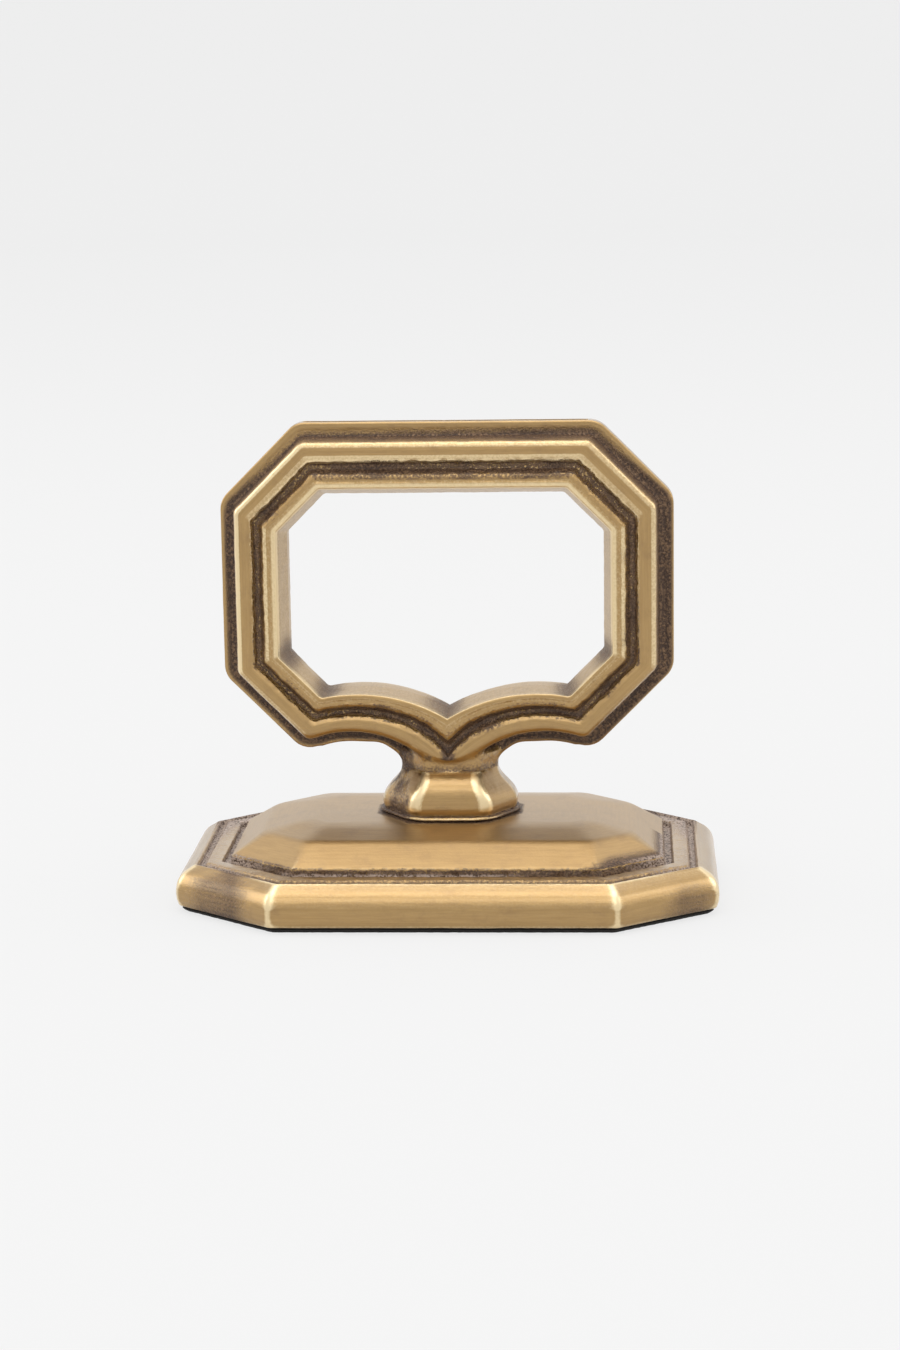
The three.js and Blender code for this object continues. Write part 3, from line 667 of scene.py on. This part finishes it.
def neck_skin():
    rows = neck_section()
    grid = np.stack([
        on_level(neck_outline(width, depth, radius), height)
        for width, depth, height, radius in rows[:, :4]
    ])
    values = section_values(rows[:, 2:], grid.shape[1])
    patina, wear_and_highlight, rough = (values[key] for key in SIGNS)
    x, y, z = np.moveaxis(grid, 2, 0)
    bell = reached(z, FOOT_UNDERSIDE + 0.8, FOOT_UNDERSIDE + 1.3) * (z < WAIST_HEIGHT)
    # Creases of the bell rubbed bright, which also paints their highlights.
    wear_and_highlight += bell * creases(grid) * 1.1
    # The front-left bevel made darker and mottled.
    left = reached(-x, 4.2, 5.0) * reached(-x, 8.4, 6.6) * (y < 0)
    patina += left * (0.6 + 0.4 * grid_noise(grid, 1.0, 61))
    np.maximum(rough, 0.3 * left, out=rough)
    lip = z < FOOT_UNDERSIDE + FOOT_LIP_HEIGHT + 0.1
    patina += lip * reached(np.abs(x), 4, 7) * 0.6
    values["satin"] = np.zeros_like(x)
    run = run_vectors(loop_lengths(grid[0]), rows[:, 2])
    breast = BREAST_BULGE * reached(z, WAIST_HEIGHT, WAIST_HEIGHT + 0.9)
    breast *= z < NECK_TOP_HEIGHT - 0.3
    grid[..., 1] += np.sign(y) * breast * np.exp(-((x / BREAST_HALF_WIDTH) ** 4)) * (np.abs(y) > 2)
    grid = weathered(grid, False, values, 2)
    return skin_object("neck_skin", grid, values, run, False)


# Base skin

DOME_START = RIM_WIDTH + OUTER_GROOVE_WIDTH + STEP_BAND_WIDTH + INNER_GROOVE_WIDTH


def octagon(x, y, cuts):
    """A box about the middle with its four corners cut, counter-clockwise."""
    (a, b), (c, d), (e, f), (g, h) = cuts
    return np.array([
        (x - a, -y), (x, b - y), (x, y - d), (x - c, y),
        (e - x, y), (-x, y - f), (-x, h - y), (g - x, -y),
    ])


def base_outline(inset, radius):
    """The base in plan, moved inwards by an inset."""
    cuts = (moved_cut(*runs, inset) for runs in BASE_CORNERS)
    corners = octagon(BASE_WIDTH / 2 - inset, BASE_DEPTH / 2 - inset, cuts)
    return closed_outline(corners, radius, BASE_SPANS)


def moved_cut(width, depth, inset):
    """The two runs of a corner cut once the outline has moved inwards."""
    cut = math.hypot(width, depth)
    return width - inset * (1 + (width - cut) / depth), depth - inset * (1 + (depth - cut) / width)


def base_section():
    """Stops of inset and height above the underside, from the foot of the rim to the seat."""
    band = RIM_WIDTH + OUTER_GROOVE_WIDTH
    groove = band + STEP_BAND_WIDTH
    dome = DOME_START
    dome_foot = RIM_HEIGHT + DOME_STEP
    crease = dome + DOME_FACET_WIDTH
    seat = SEAT_HEIGHT - BASE_UNDERSIDE
    return rounded_section([
        (RIM_TUCK + 0.7, 0, 0, 0.6, 0, 0.2),
        (RIM_TUCK, 0.1, 0.25, 0.1, 0.6, 0.1),
        (0.1, 0.85, 1.2, 0, 0.1, 0),
        (0, RIM_BELLY_HEIGHT, 3.0, 0, 0, 0),
        # Wear on the rim's crown is rubbed-bright metal that also paints a pale highlight along it.
        (RIM_BEND_INSET, RIM_HEIGHT - RIM_BEND_DROP, 2.5, 0, 0.4, 0),
        (RIM_WIDTH - 0.4, RIM_HEIGHT - 0.24, 0, 0, 0.5, 0),
        (RIM_WIDTH, RIM_HEIGHT, 0.2, 0.1, 0.9, 0.1),
        (RIM_WIDTH + 0.35, RIM_HEIGHT - OUTER_GROOVE_DEPTH, 0.2, 0.9, 0, 0.5),
        (band - 0.35, RIM_HEIGHT - OUTER_GROOVE_DEPTH, 0.2, 0.9, 0, 0.5),
        (band, RIM_HEIGHT, 0.3, 0.45, 0.1, 0.3),
        (groove, RIM_HEIGHT, 0.25, 0.15, 0.4, 0.4),
        (groove + 0.22, RIM_HEIGHT - INNER_GROOVE_DEPTH, 0.15, 1.0, 0, 0.9),
        (dome - 0.2, RIM_HEIGHT - INNER_GROOVE_DEPTH, 0.15, 1.0, 0, 0.9),
        (dome - 0.04, dome_foot - 0.35, 0.2, 0.9, 0, 0.8),
        (dome, dome_foot - 0.05, 0.2, 0.3, 0.5, 0.6),
        (dome + 0.25, dome_foot + 0.14, 0.3, 0, 0.2, 0),
        (crease, dome_foot + DOME_FACET_RISE, 2.8, 0, 0, 0),
        (crease + DOME_SHOULDER_WIDTH, seat, 18, 0, 0, 0),
        (SEAT_INSET, seat, 0, 0, 0, 0),
    ])


def crease_radius(inset):
    """Rounding in plan of the eight upright creases: tight on the rim, soft on the dome, and tight
    again at the seat, where the sides get short."""
    rim = 1.3 - 0.8 * reached(inset, 0, RIM_WIDTH)
    dome = 2.4 * reached(inset, DOME_START, DOME_START + DOME_FACET_WIDTH)
    seat = reached(inset, SEAT_INSET - 5, SEAT_INSET)
    return (rim + dome) * (1 - seat) + 0.2 * seat


def base_skin():
    section = base_section()
    rows = [
        on_level(base_outline(inset, crease_radius(inset)), BASE_UNDERSIDE + height)
        for inset, height in section[:, :2]
    ]
    seat = rows[-1]
    for share in np.linspace(1, SEAT_LEAST_SHARE, SEAT_ROWS)[1:]:
        rows.append(seat * (share, share, 1))
        section = np.vstack([section, section[-1] + (SPAN, 0, 0, 0, 0)])
    grid = np.stack(rows)
    values = section_values(section, grid.shape[1])
    age_base(grid, section, values)
    run = run_vectors(loop_lengths(grid[0]), path_lengths(section[:, :2]))
    grid = weathered(grid, False, values, 3)
    grid = np.clip(grid, base_low, base_high)
    return skin_object("base_skin", grid, values, run, False)


def age_base(grid, section, values):
    """Upright creases rubbed bright, which also paints their highlights; pale grit in the grooves;
    the rim's front-left cut corner darker and its front-right one darker towards the bottom; brown
    smudges on the dome's lower corners; and a painted shadow round the neck's foot."""
    inset, height = section[:, :1], section[:, 1:2]
    patina, wear_and_highlight, rough = (values[key] for key in SIGNS)
    across, forward = grid[..., 0], grid[..., 1]
    x, y = np.abs(across), np.abs(forward)
    rim = (inset < RIM_WIDTH) * (height > 0.1)
    dome = (inset > DOME_START) * (inset < SEAT_INSET - 4)
    back = reached(forward, 0, 12)
    # The creases rubbed bright, which also paints their highlights.
    wear_and_highlight += creases(grid) * (1.1 * rim + 0.4 * dome)
    wear_and_highlight *= 1 - back * (inset > RIM_WIDTH / 2)
    patina += 0.7 * back * (inset > RIM_WIDTH - 0.3) * (inset < DOME_START)
    run_x, run_y = BASE_CORNERS[0]
    cut_x, cut_y = BASE_WIDTH / 2 - run_x, BASE_DEPTH / 2 - run_y
    corner = reached(x, cut_x, cut_x + run_x / 2 - 1.5) * reached(y, cut_y - 2, cut_y + 1.5)
    blotch = np.clip(grid_noise(grid, 3.5, 71) + 0.4, 0, 1)
    low = np.clip(1.5 - 1.3 * height / RIM_HEIGHT, 0, 1)
    front = forward < 0
    left = front * (across < 0)
    far = reached(across, BASE_WIDTH / 2 - 9, BASE_WIDTH / 2 - 4.5)
    # The rim's front-left cut corner darker, and its front-right one darker towards the bottom,
    # with less rubbed-bright metal on the front-left cut.
    darkening = (left + front * far * low) * (0.54 + 0.15 * blotch)
    patina += rim * corner * darkening
    wear_and_highlight *= 1 - 0.8 * rim * corner * left
    smear = reached(x, BASE_WIDTH / 2 - 16.5, BASE_WIDTH / 2 - 13) * front * (0.85 - 0.5 * left)
    patina += dome * smear * np.clip(1.15 - (inset - DOME_START) / 1.9, 0, 1)
    # Painted contact shadow on the dome round the neck's foot, together with the dark of the joint.
    slanted = (x - FOOT_WIDTH / 2 * FRONT_FACET_SHARE) * 0.8 + (y - FOOT_DEPTH / 2) * 0.6
    foot = np.maximum.reduce([x - FOOT_WIDTH / 2, y - FOOT_DEPTH / 2, slanted, 0 * x])
    patina += (inset > DOME_START + DOME_FACET_WIDTH) * 0.8 * hump(foot, 0.5)
    sides = reached(x - y, 6, 14)
    wear_and_highlight *= 1 - 0.6 * sides * (np.abs(inset - RIM_WIDTH) < 0.25)
    floors = np.abs(inset - DOME_START + INNER_GROOVE_WIDTH / 2) < 0.5
    grooves = (inset > RIM_WIDTH) * (inset < DOME_START + 0.3)
    for centre in (RIM_WIDTH + OUTER_GROOVE_WIDTH / 2, DOME_START - INNER_GROOVE_WIDTH / 2):
        beside = sides * hump(inset - centre, 0.5)
        patina += 0.2 * beside
        np.maximum(rough, beside, out=rough)
    chalky = reached(across, -20, -17) * reached(across, 10, 6) * front
    values["ash"] = np.maximum(grooves * sides * 0.8, floors * chalky)
    values["satin"] = 0.75 * (inset > DOME_START) * np.ones_like(x)


# Joining and cutting

def combined(name, body, *changes):
    """A new object: body after each (operation, tool) change. Uses up the body and the tools."""
    for operation, tool in changes:
        change = body.modifiers.new(operation.lower(), "BOOLEAN")
        change.operation = operation
        change.solver = "MANIFOLD"
        change.object = tool
    depsgraph = bpy.context.evaluated_depsgraph_get()
    mesh = bpy.data.meshes.new_from_object(body.evaluated_get(depsgraph), depsgraph=depsgraph)
    for used in [body] + [tool for operation, tool in changes]:
        bpy.data.objects.remove(used)
    mesh.name = name
    return placed(name, mesh)


def prism(name, outline, low, high):
    """A closed solid of one outline between two heights."""
    return plain_object(name, np.stack([on_level(outline, low), on_level(outline, high)]))


def circle(radius, count=48):
    angles = np.linspace(0, 2 * math.pi, count, endpoint=False)
    return np.stack([radius * np.cos(angles), radius * np.sin(angles)], axis=1)


TENON_WIDTH = 9.6
TENON_DEPTH = 7.4
TENON_CORNER_LEG = 1.4
FIT_GAP = 0.3
SCREW_HOLE_RADIUS = 2.3
SCREW_HOLE_TOP = 16.1
CLEARANCE_HOLE_RADIUS = 2.4
COUNTERBORE_RADIUS = 4.5
COUNTERBORE_TOP = 4.3
OVERRUN = 1.5


def tenon_outline(clearance):
    cuts = [(TENON_CORNER_LEG, TENON_CORNER_LEG)] * 4
    return octagon(TENON_WIDTH / 2 + clearance, TENON_DEPTH / 2 + clearance, cuts)


SLOT_WIDTH = 0.9
SLOT_LENGTH = 34
SLOT_DEPTH = 3.2
SLOT_SAW_RADIUS = 7


def card_slot():
    """The saw's cut: straight floor, ends that rise on the radius of the blade."""
    run = math.sqrt(SLOT_SAW_RADIUS ** 2 - (SLOT_SAW_RADIUS - SLOT_DEPTH) ** 2)
    angles = np.linspace(0, math.asin(run / SLOT_SAW_RADIUS), 12)
    floor = RING_TOP_HEIGHT - SLOT_DEPTH
    half = np.stack([
        SLOT_LENGTH / 2 - run + SLOT_SAW_RADIUS * np.sin(angles),
        floor + SLOT_SAW_RADIUS * (1 - np.cos(angles)),
    ], axis=1)
    half = np.concatenate([half, [[SLOT_LENGTH / 2, RING_TOP_HEIGHT + OVERRUN]]])
    outline = np.concatenate([half, half[::-1] * (-1, 1)])
    sides = [upright(outline, y) for y in (SLOT_WIDTH / 2, -SLOT_WIDTH / 2)]
    return plain_object("card_slot", np.stack(sides))


def mesh_points(mesh):
    flat = np.empty(len(mesh.vertices) * 3)
    mesh.vertices.foreach_get("co", flat)
    return flat.reshape(-1, 3)


def nearest(known, points):
    """Which of the known points is nearest to each point, and how far away it is."""
    tree = KDTree(len(known))
    for i, point in enumerate(known):
        tree.insert(point, i)
    tree.balance()
    indices, distances = zip(*(tree.find(point)[1:] for point in points))
    return np.array(indices), np.array(distances)


def eased(mesh, strength, rounds):
    """Moves each point towards the mean of its neighbours, by a strength of its own."""
    points = mesh_points(mesh)
    edges = np.empty(len(mesh.edges) * 2, np.int64)
    mesh.edges.foreach_get("vertices", edges)
    a, b = edges.reshape(-1, 2).T
    degree = np.bincount(edges, minlength=len(points))[:, None]
    for _ in range(rounds):
        total = np.zeros_like(points)
        np.add.at(total, a, points[b])
        np.add.at(total, b, points[a])
        points += (total / np.maximum(degree, 1) - points) * strength[:, None]
    mesh.vertices.foreach_set("co", points.ravel())
    mesh.update()


# Where the neck meets the mouldings: what counts as a new point, and how far the crust reaches
SEAM_DISTANCE = 0.02
JOINT_FALL = 1.3
JOINT_HALF_WIDTH = 7
EASING_STRENGTH = 0.5
EASING_ROUNDS = 30


def ring_piece():
    ring, neck = ring_skin(), neck_skin()
    sources = [ring.data.copy(), neck.data.copy()]
    tenon = prism("tenon", tenon_outline(0), ring_low[2], FOOT_UNDERSIDE + FOOT_LIP_HEIGHT)
    hole = prism("screw_hole", circle(SCREW_HOLE_RADIUS), ring_low[2] - OVERRUN, SCREW_HOLE_TOP)
    joins = [("UNION", neck), ("UNION", tenon), ("DIFFERENCE", card_slot()), ("DIFFERENCE", hole)]
    piece = combined("ring_casting_finished", ring, *joins)
    mesh = piece.data
    points = mesh_points(mesh)
    known = np.concatenate([mesh_points(source) for source in sources])
    index, distance = nearest(known, points)
    values = {
        key: np.concatenate([get_values(source, key) for source in sources])[index]
        for key in SIGNS + ("satin", "run")
    }
    values["ash"] = np.zeros(len(points))
    above_foot = (points[:, 2] > WAIST_HEIGHT - 1) & (points[:, 2] < NECK_TOP_HEIGHT + 3)
    seam = points[(distance > SEAM_DISTANCE) & above_foot]
    closeness = np.clip(1 - nearest(seam, points)[1] / JOINT_FALL, 0, 1)
    crust = np.clip(noise(points, 1.2, 81) + 0.3, 0, 1)
    patina = np.maximum(values["patina"], closeness * crust * 0.8)
    wear_and_highlight = values["wear_and_highlight"] * (1 - closeness)
    x, y, z = np.abs(points).T
    sawn = (y < SLOT_WIDTH / 2 + 0.02) & (x < SLOT_LENGTH / 2 + 0.02)
    sawn &= z > RING_TOP_HEIGHT - SLOT_DEPTH - 0.05
    values["patina"], values["wear_and_highlight"] = np.where(sawn, 0.0, patina), np.where(sawn, 0.9, wear_and_highlight)
    set_values(mesh, values)
    groove = ring_outline(MIDDLE_BAND_END)
    x, z = groove.T
    groove = groove[(np.abs(x) < JOINT_HALF_WIDTH) & (z < WING_TOP_HEIGHT + JOINT_HALF_WIDTH)]
    clear = nearest(upright(groove, 0), points * (1, 0, 1))[1]
    strength = EASING_STRENGTH * np.clip(closeness * 1.5, 0, 1) * np.clip(clear / 0.4 - 0.6, 0, 1)
    eased(mesh, strength, EASING_ROUNDS)
    return piece


def base_piece():
    mortise_floor = ring_low[2] - FIT_GAP
    mortise = prism("mortise", tenon_outline(FIT_GAP), mortise_floor, SEAT_HEIGHT + OVERRUN)
    hole = prism("clearance", circle(CLEARANCE_HOLE_RADIUS), BASE_UNDERSIDE, SEAT_HEIGHT)
    bore_low = BASE_UNDERSIDE - OVERRUN
    counterbore = prism("counterbore", circle(COUNTERBORE_RADIUS), bore_low, COUNTERBORE_TOP)
    cuts = [("DIFFERENCE", tool) for tool in (mortise, hole, counterbore)]
    return combined("base_casting_finished", base_skin(), *cuts)


# Felt

FELT_INSET = 0.65
FELT_CORNER_RADIUS = 1.2
FELT_FUZZ = 0.08


def felt_piece():
    """The pad with its lower edge rounded by wear and a little fuzz all round."""
    low, high = felt_low[2], felt_high[2]
    levels = [
        (0.8, low), (0.5, low + 0.06), (0.25, low + 0.2),
        (0.0, high - 0.15), (0.1, high - 0.05), (0.35, high),
    ]
    grid = np.stack([
        on_level(base_outline(FELT_INSET + inset, FELT_CORNER_RADIUS), height)
        for inset, height in levels
    ])
    fuzz = grid_noise(grid, 0.35, 31)[..., None]
    inwards = grid * (1, 1, 0)
    inwards = inwards / np.linalg.norm(inwards, axis=2, keepdims=True)
    return plain_object("felt_pad_finished", grid - inwards * FELT_FUZZ * (1 + fuzz))


# Materials

class Nodes:
    """Short ways to add shader nodes to a material."""

    def __init__(self, name):
        self.material = bpy.data.materials.new(name)
        self.material.use_nodes = True
        self.tree = self.material.node_tree
        self.shader = self.tree.nodes["Principled BSDF"]

    def add(self, kind, inputs=(), **settings):
        node = self.tree.nodes.new(kind)
        for key, value in settings.items():
            setattr(node, key, value)
        for key, value in dict(inputs).items():
            self.feed(node, key, value)
        return node

    def feed(self, node, key, value):
        """Gives an input of a node another node's output or a plain value."""
        if isinstance(value, bpy.types.NodeSocket):
            self.tree.links.new(value, node.inputs[key])
        else:
            node.inputs[key].default_value = value

    def drive(self, key, value):
        self.feed(self.shader, key, value)

    def maths(self, operation, a, b):
        return self.add("ShaderNodeMath", {0: a, 1: b}, operation=operation).outputs[0]

    def mix(self, factor, a, b):
        return self.add("ShaderNodeMix", {0: factor, 6: a, 7: b}, data_type="RGBA").outputs[2]

    def blend(self, factor, a, b):
        inputs = {"Value": factor, "To Min": a, "To Max": b}
        return self.add("ShaderNodeMapRange", inputs).outputs[0]

    def step(self, value, low, high):
        inputs = {"Value": value, "From Min": low, "From Max": high}
        return self.add("ShaderNodeMapRange", inputs, interpolation_type="SMOOTHSTEP").outputs[0]

    def noise(self, vector, scale, detail=2.0, roughness=0.5):
        inputs = {"Vector": vector, "Scale": scale, "Detail": detail, "Roughness": roughness}
        return self.add("ShaderNodeTexNoise", inputs).outputs[0]

    def times(self, a, b):
        return self.maths("MULTIPLY", a, b)

    def swayed(self, value, noise, strength):
        """The value moved up and down by a noise that lies about 0.5."""
        sway = self.times(self.maths("SUBTRACT", noise, 0.5), strength)
        return self.maths("ADD", value, sway)

    def place(self):
        return self.add("ShaderNodeTexCoord").outputs["Object"]

    def attribute(self, name, output="Fac"):
        return self.add("ShaderNodeAttribute", attribute_name=name).outputs[output]

    def scaled(self, vector, x, y, z):
        inputs = {0: vector, 1: (x, y, z)}
        return self.add("ShaderNodeVectorMath", inputs, operation="MULTIPLY").outputs[0]

    def bump(self, height, distance, strength, normal=None):
        inputs = {"Height": height, "Distance": distance, "Strength": strength}
        if normal:
            inputs["Normal"] = normal
        return self.add("ShaderNodeBump", inputs).outputs[0]


def colour(red, green, blue):
    """Linear colour from the usual 0 to 255 values."""
    def linear(value):
        share = value / 255
        return share / 12.92 if share <= 0.04045 else ((share + 0.055) / 1.055) ** 2.4
    return (linear(red), linear(green), linear(blue), 1.0)


BRASS = colour(173, 140, 86)
BRASS_DEEP = colour(160, 127, 75)
BRASS_DULL = colour(140, 109, 68)
# Pale rubbed brass, also the colour of the painted highlights.
BRASS_WORN_AND_HIGHLIGHT = colour(236, 214, 168)
PATINA = colour(66, 44, 28)
PATINA_PALE = colour(126, 97, 68)
ASH = colour(176, 157, 143)


def antique_brass():
    """Brushed cast brass under a thin lacquer, dark where the polishing wheel didn't reach."""
    n = Nodes("antique_brass")
    place = n.place()
    run = n.attribute("run", "Vector")
    patina, wear_and_highlight, rough, ash, satin = (n.attribute(key) for key in SIGNS + ("ash", "satin"))

    cloud = n.noise(place, 180, 3.0)
    crumbs = n.step(n.noise(place, 3600, 3.0, 0.6), 0.3, 0.7)
    brushed = n.noise(n.scaled(run, 0.15, 3.2, 1.0), 1.0, 5.0, 0.7)
    torn = n.blend(rough, 0.05, 0.9)
    streaks = n.blend(rough, 0.6, 0.0)
    ragged = n.swayed(n.swayed(patina, crumbs, torn), cloud, torn)
    dirt = n.step(n.swayed(ragged, brushed, streaks), 0.25, 0.8)
    uneven = n.blend(rough, 0.1, 0.5)
    worn_and_highlit = n.step(n.swayed(wear_and_highlight, crumbs, uneven), 0.35, 1.0)

    filed = n.noise(n.scaled(run, 3.6, 0.25, 1.0), 1.0, 3.0, 0.6)
    filing = n.step(cloud, 0.5, 0.68)
    metal = n.mix(n.step(brushed, 0.3, 0.7), BRASS_DEEP, BRASS)
    smudges = n.step(n.noise(place, 420, 5.0, 0.68), 0.48, 0.72)
    metal = n.mix(n.times(smudges, 0.4), metal, BRASS_DULL)
    # Pale metal where edges are rubbed bright and where highlights are painted.
    metal = n.mix(n.times(worn_and_highlit, 0.85), metal, BRASS_WORN_AND_HIGHLIGHT)
    flecks = n.times(n.step(brushed, 0.3, 0.6), n.step(crumbs, 0.2, 0.9))
    brown = n.mix(flecks, PATINA, PATINA_PALE)
    crust = n.mix(n.times(ash, n.step(crumbs, 0.1, 0.6)), brown, ASH)
    n.drive("Base Color", n.mix(dirt, metal, crust))

    gloss = n.maths("ADD", 0.24, n.times(brushed, 0.16))
    gloss = n.blend(satin, gloss, 0.46)
    n.drive("Roughness", n.blend(dirt, gloss, 0.55))
    n.drive("Metallic", n.blend(dirt, 1.0, 0.3))
    n.drive("Coat Weight", n.blend(dirt, 0.8, 0.2))
    n.drive("Coat Roughness", n.blend(satin, 0.25, 0.4))
    n.drive("Coat IOR", 1.6)

    lines = n.bump(brushed, 0.00003, 0.35)
    marks = n.bump(n.times(filed, filing), 0.00003, 0.4, lines)
    grain = n.times(crumbs, n.maths("ADD", dirt, 0.08))
    n.drive("Normal", n.bump(grain, 0.00012, 0.8, marks))
    return n.material


def black_felt():
    n = Nodes("black_felt")
    place = n.place()
    fibres = n.noise(place, 2600, 4.0, 0.7)
    n.drive("Base Color", n.mix(fibres, colour(18, 17, 17), colour(46, 43, 41)))
    n.drive("Roughness", n.blend(fibres, 0.9, 1.0))
    n.drive("Normal", n.bump(fibres, 0.00015, 0.9))
    return n.material


def plated_steel(name, pale, dark, roughness):
    n = Nodes(name)
    place = n.place()
    spots = n.noise(place, 700, 3.0)
    n.drive("Base Color", n.mix(spots, colour(*dark), colour(*pale)))
    n.drive("Roughness", n.blend(spots, roughness, roughness + 0.15))
    n.drive("Normal", n.bump(spots, 0.00003, 0.4))
    n.drive("Metallic", 1.0)
    return n.material


# Pieces on their bodies

def finished(item, node, material, sharp_degrees):
    """The piece in metres, on the root body, in the place of its CAD node."""
    item.data.transform(Matrix.Scale(MM, 4))
    item.data.materials.clear()
    item.data.materials.append(material)
    item.data.shade_smooth()
    item.data.set_sharp_from_angle(angle=math.radians(sharp_degrees))
    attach(item, "root")
    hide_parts(node)
    return item


def dress():
    brass = antique_brass()
    finished(ring_piece(), "ring_casting", brass, 50)
    finished(base_piece(), "base_casting", brass, 50)
    felt = finished(felt_piece(), "felt_pad", black_felt(), 80)
    steels = {
        "fixing_screw": plated_steel("zinc_plate", (196, 198, 200), (160, 162, 165), 0.3),
        "spring_washer": plated_steel("spring_steel", (150, 152, 156), (112, 114, 118), 0.35),
    }
    for node, material in steels.items():
        frame["nodes"][node].data.materials.clear()
        frame["nodes"][node].data.materials.append(material)


# Stage, light and camera

PALE = 0.885
CEILING = 1.08
FLOOR_ALBEDO = 0.66
FLOOR_RINGS = (0.3, 0.9)
FLOOR_RADIUS = 1.6
SWEEP_RADIUS = 0.28
SWEEP_STEPS = 24
SWEEP_SIDES = 96
# Shares of the floor that the camera and the metal see as even background, not as lit surface
EVENNESS = 0.85
MIRRORED_EVENNESS = 0.3


def even_share(n):
    """The share of even background for this ray: from the camera, mirrored or through glass."""
    rays = n.add("ShaderNodeLightPath").outputs
    seen = n.times(rays["Is Camera Ray"], EVENNESS)
    mirrored = n.times(rays["Is Glossy Ray"], MIRRORED_EVENNESS)
    through = n.times(rays["Is Transmission Ray"], EVENNESS)
    return n.maths("MAXIMUM", n.maths("MAXIMUM", seen, mirrored), through)


def pale_floor():
    n = Nodes("pale_floor")
    n.drive("Base Color", (FLOOR_ALBEDO, FLOOR_ALBEDO, FLOOR_ALBEDO, 1))
    n.drive("Roughness", 0.9)
    n.drive("Specular IOR Level", 0.0)
    glow = n.add("ShaderNodeEmission", {"Color": (PALE, PALE, PALE, 1)})
    shaders = {0: even_share(n), 1: n.shader.outputs[0], 2: glow.outputs[0]}
    mix = n.add("ShaderNodeMixShader", shaders)
    n.tree.links.new(mix.outputs[0], n.tree.nodes["Material Output"].inputs["Surface"])
    return n.material


def floor():
    """A round pale floor that sweeps up into a low wall, so that no horizon shows from any side."""
    profile = [(radius, 0) for radius in FLOOR_RINGS]
    for angle in np.linspace(0, math.pi / 2, SWEEP_STEPS):
        rise = SWEEP_RADIUS * (1 - math.cos(angle))
        profile.append((FLOOR_RADIUS + SWEEP_RADIUS * math.sin(angle), rise))
    vertices = [(0, 0, 0)]
    for radius, height in profile:
        vertices += [(x, y, height) for x, y in circle(radius, SWEEP_SIDES)]
    faces = [(0, 1 + k, 1 + (k + 1) % SWEEP_SIDES) for k in range(SWEEP_SIDES)]
    for first in range(1, len(vertices) - SWEEP_SIDES, SWEEP_SIDES):
        for k in range(SWEEP_SIDES):
            a, b = first + k, first + (k + 1) % SWEEP_SIDES
            faces.append((a, a + SWEEP_SIDES, b + SWEEP_SIDES, b))
    mesh = bpy.data.meshes.new("floor")
    mesh.from_pydata(vertices, [], faces)
    mesh.shade_smooth()
    mesh.materials.append(pale_floor())
    placed("floor", mesh)


def world():
    sky = bpy.data.worlds.new("studio")
    bpy.context.scene.world = sky
    sky.use_nodes = True
    sky.node_tree.nodes["Background"].inputs["Color"].default_value = (CEILING, CEILING, CEILING, 1)


def softbox(name, place, target, size, radiance):
    """A square lamp of that radiance, aimed at a point. Metres."""
    data = bpy.data.lights.new(name, "AREA")
    data.shape = "RECTANGLE"
    data.size, data.size_y = size
    data.energy = radiance * math.pi * size[0] * size[1]
    item = placed(name, data)
    item.location = place
    aim = Vector(target) - Vector(place)
    item.rotation_euler = aim.to_track_quat("-Z", "Y").to_euler()


def lights():
    softbox("overhead", (0.0, 0.03, 0.75), (0, 0.03, 0.03), (0.8, 0.62), 1.68)
    softbox("front", (0.0, -0.55, 0.62), (0, 0, 0.03), (0.8, 0.35), 1.15)
    softbox("left", (-0.8, 0.1, 0.4), (0, 0, 0.03), (0.4, 0.6), 2.1)
    softbox("right", (0.8, 0.05, 0.4), (0, 0, 0.03), (0.4, 0.6), 1.75)


CAMERA_AZIMUTH = math.radians(3.35)
CAMERA_ELEVATION = math.radians(10.85)
CAMERA_ROLL = math.radians(-0.87)
CAMERA_DISTANCE = 0.375
CAMERA_TARGET = (0.00012, 0.0, 0.02617)
CAMERA_FOCAL_PIXELS = 3104
PHOTO_HEIGHT = 1350
SENSOR = 36


def camera():
    data = bpy.data.cameras.new("camera")
    data.sensor_width = SENSOR
    data.lens = CAMERA_FOCAL_PIXELS * SENSOR / PHOTO_HEIGHT
    data.clip_start = 0.01
    data.clip_end = 20
    item = placed("camera", data)
    level = math.cos(CAMERA_ELEVATION)
    sine, cosine = math.sin(CAMERA_AZIMUTH), math.cos(CAMERA_AZIMUTH)
    back = Vector((sine * level, -cosine * level, math.sin(CAMERA_ELEVATION)))
    right = Vector((cosine, sine, 0))
    up = back.cross(right)
    turned_right = right * math.cos(CAMERA_ROLL) + up * math.sin(CAMERA_ROLL)
    turned_up = up * math.cos(CAMERA_ROLL) - right * math.sin(CAMERA_ROLL)
    facing = Matrix((turned_right, turned_up, back)).transposed()
    place = Vector(CAMERA_TARGET) + back * CAMERA_DISTANCE
    item.matrix_world = Matrix.Translation(place) @ facing.to_4x4()
    bpy.context.scene.camera = item


dress()
floor()
world()
lights()
camera()
bpy.context.scene.view_settings.view_transform = "Standard"
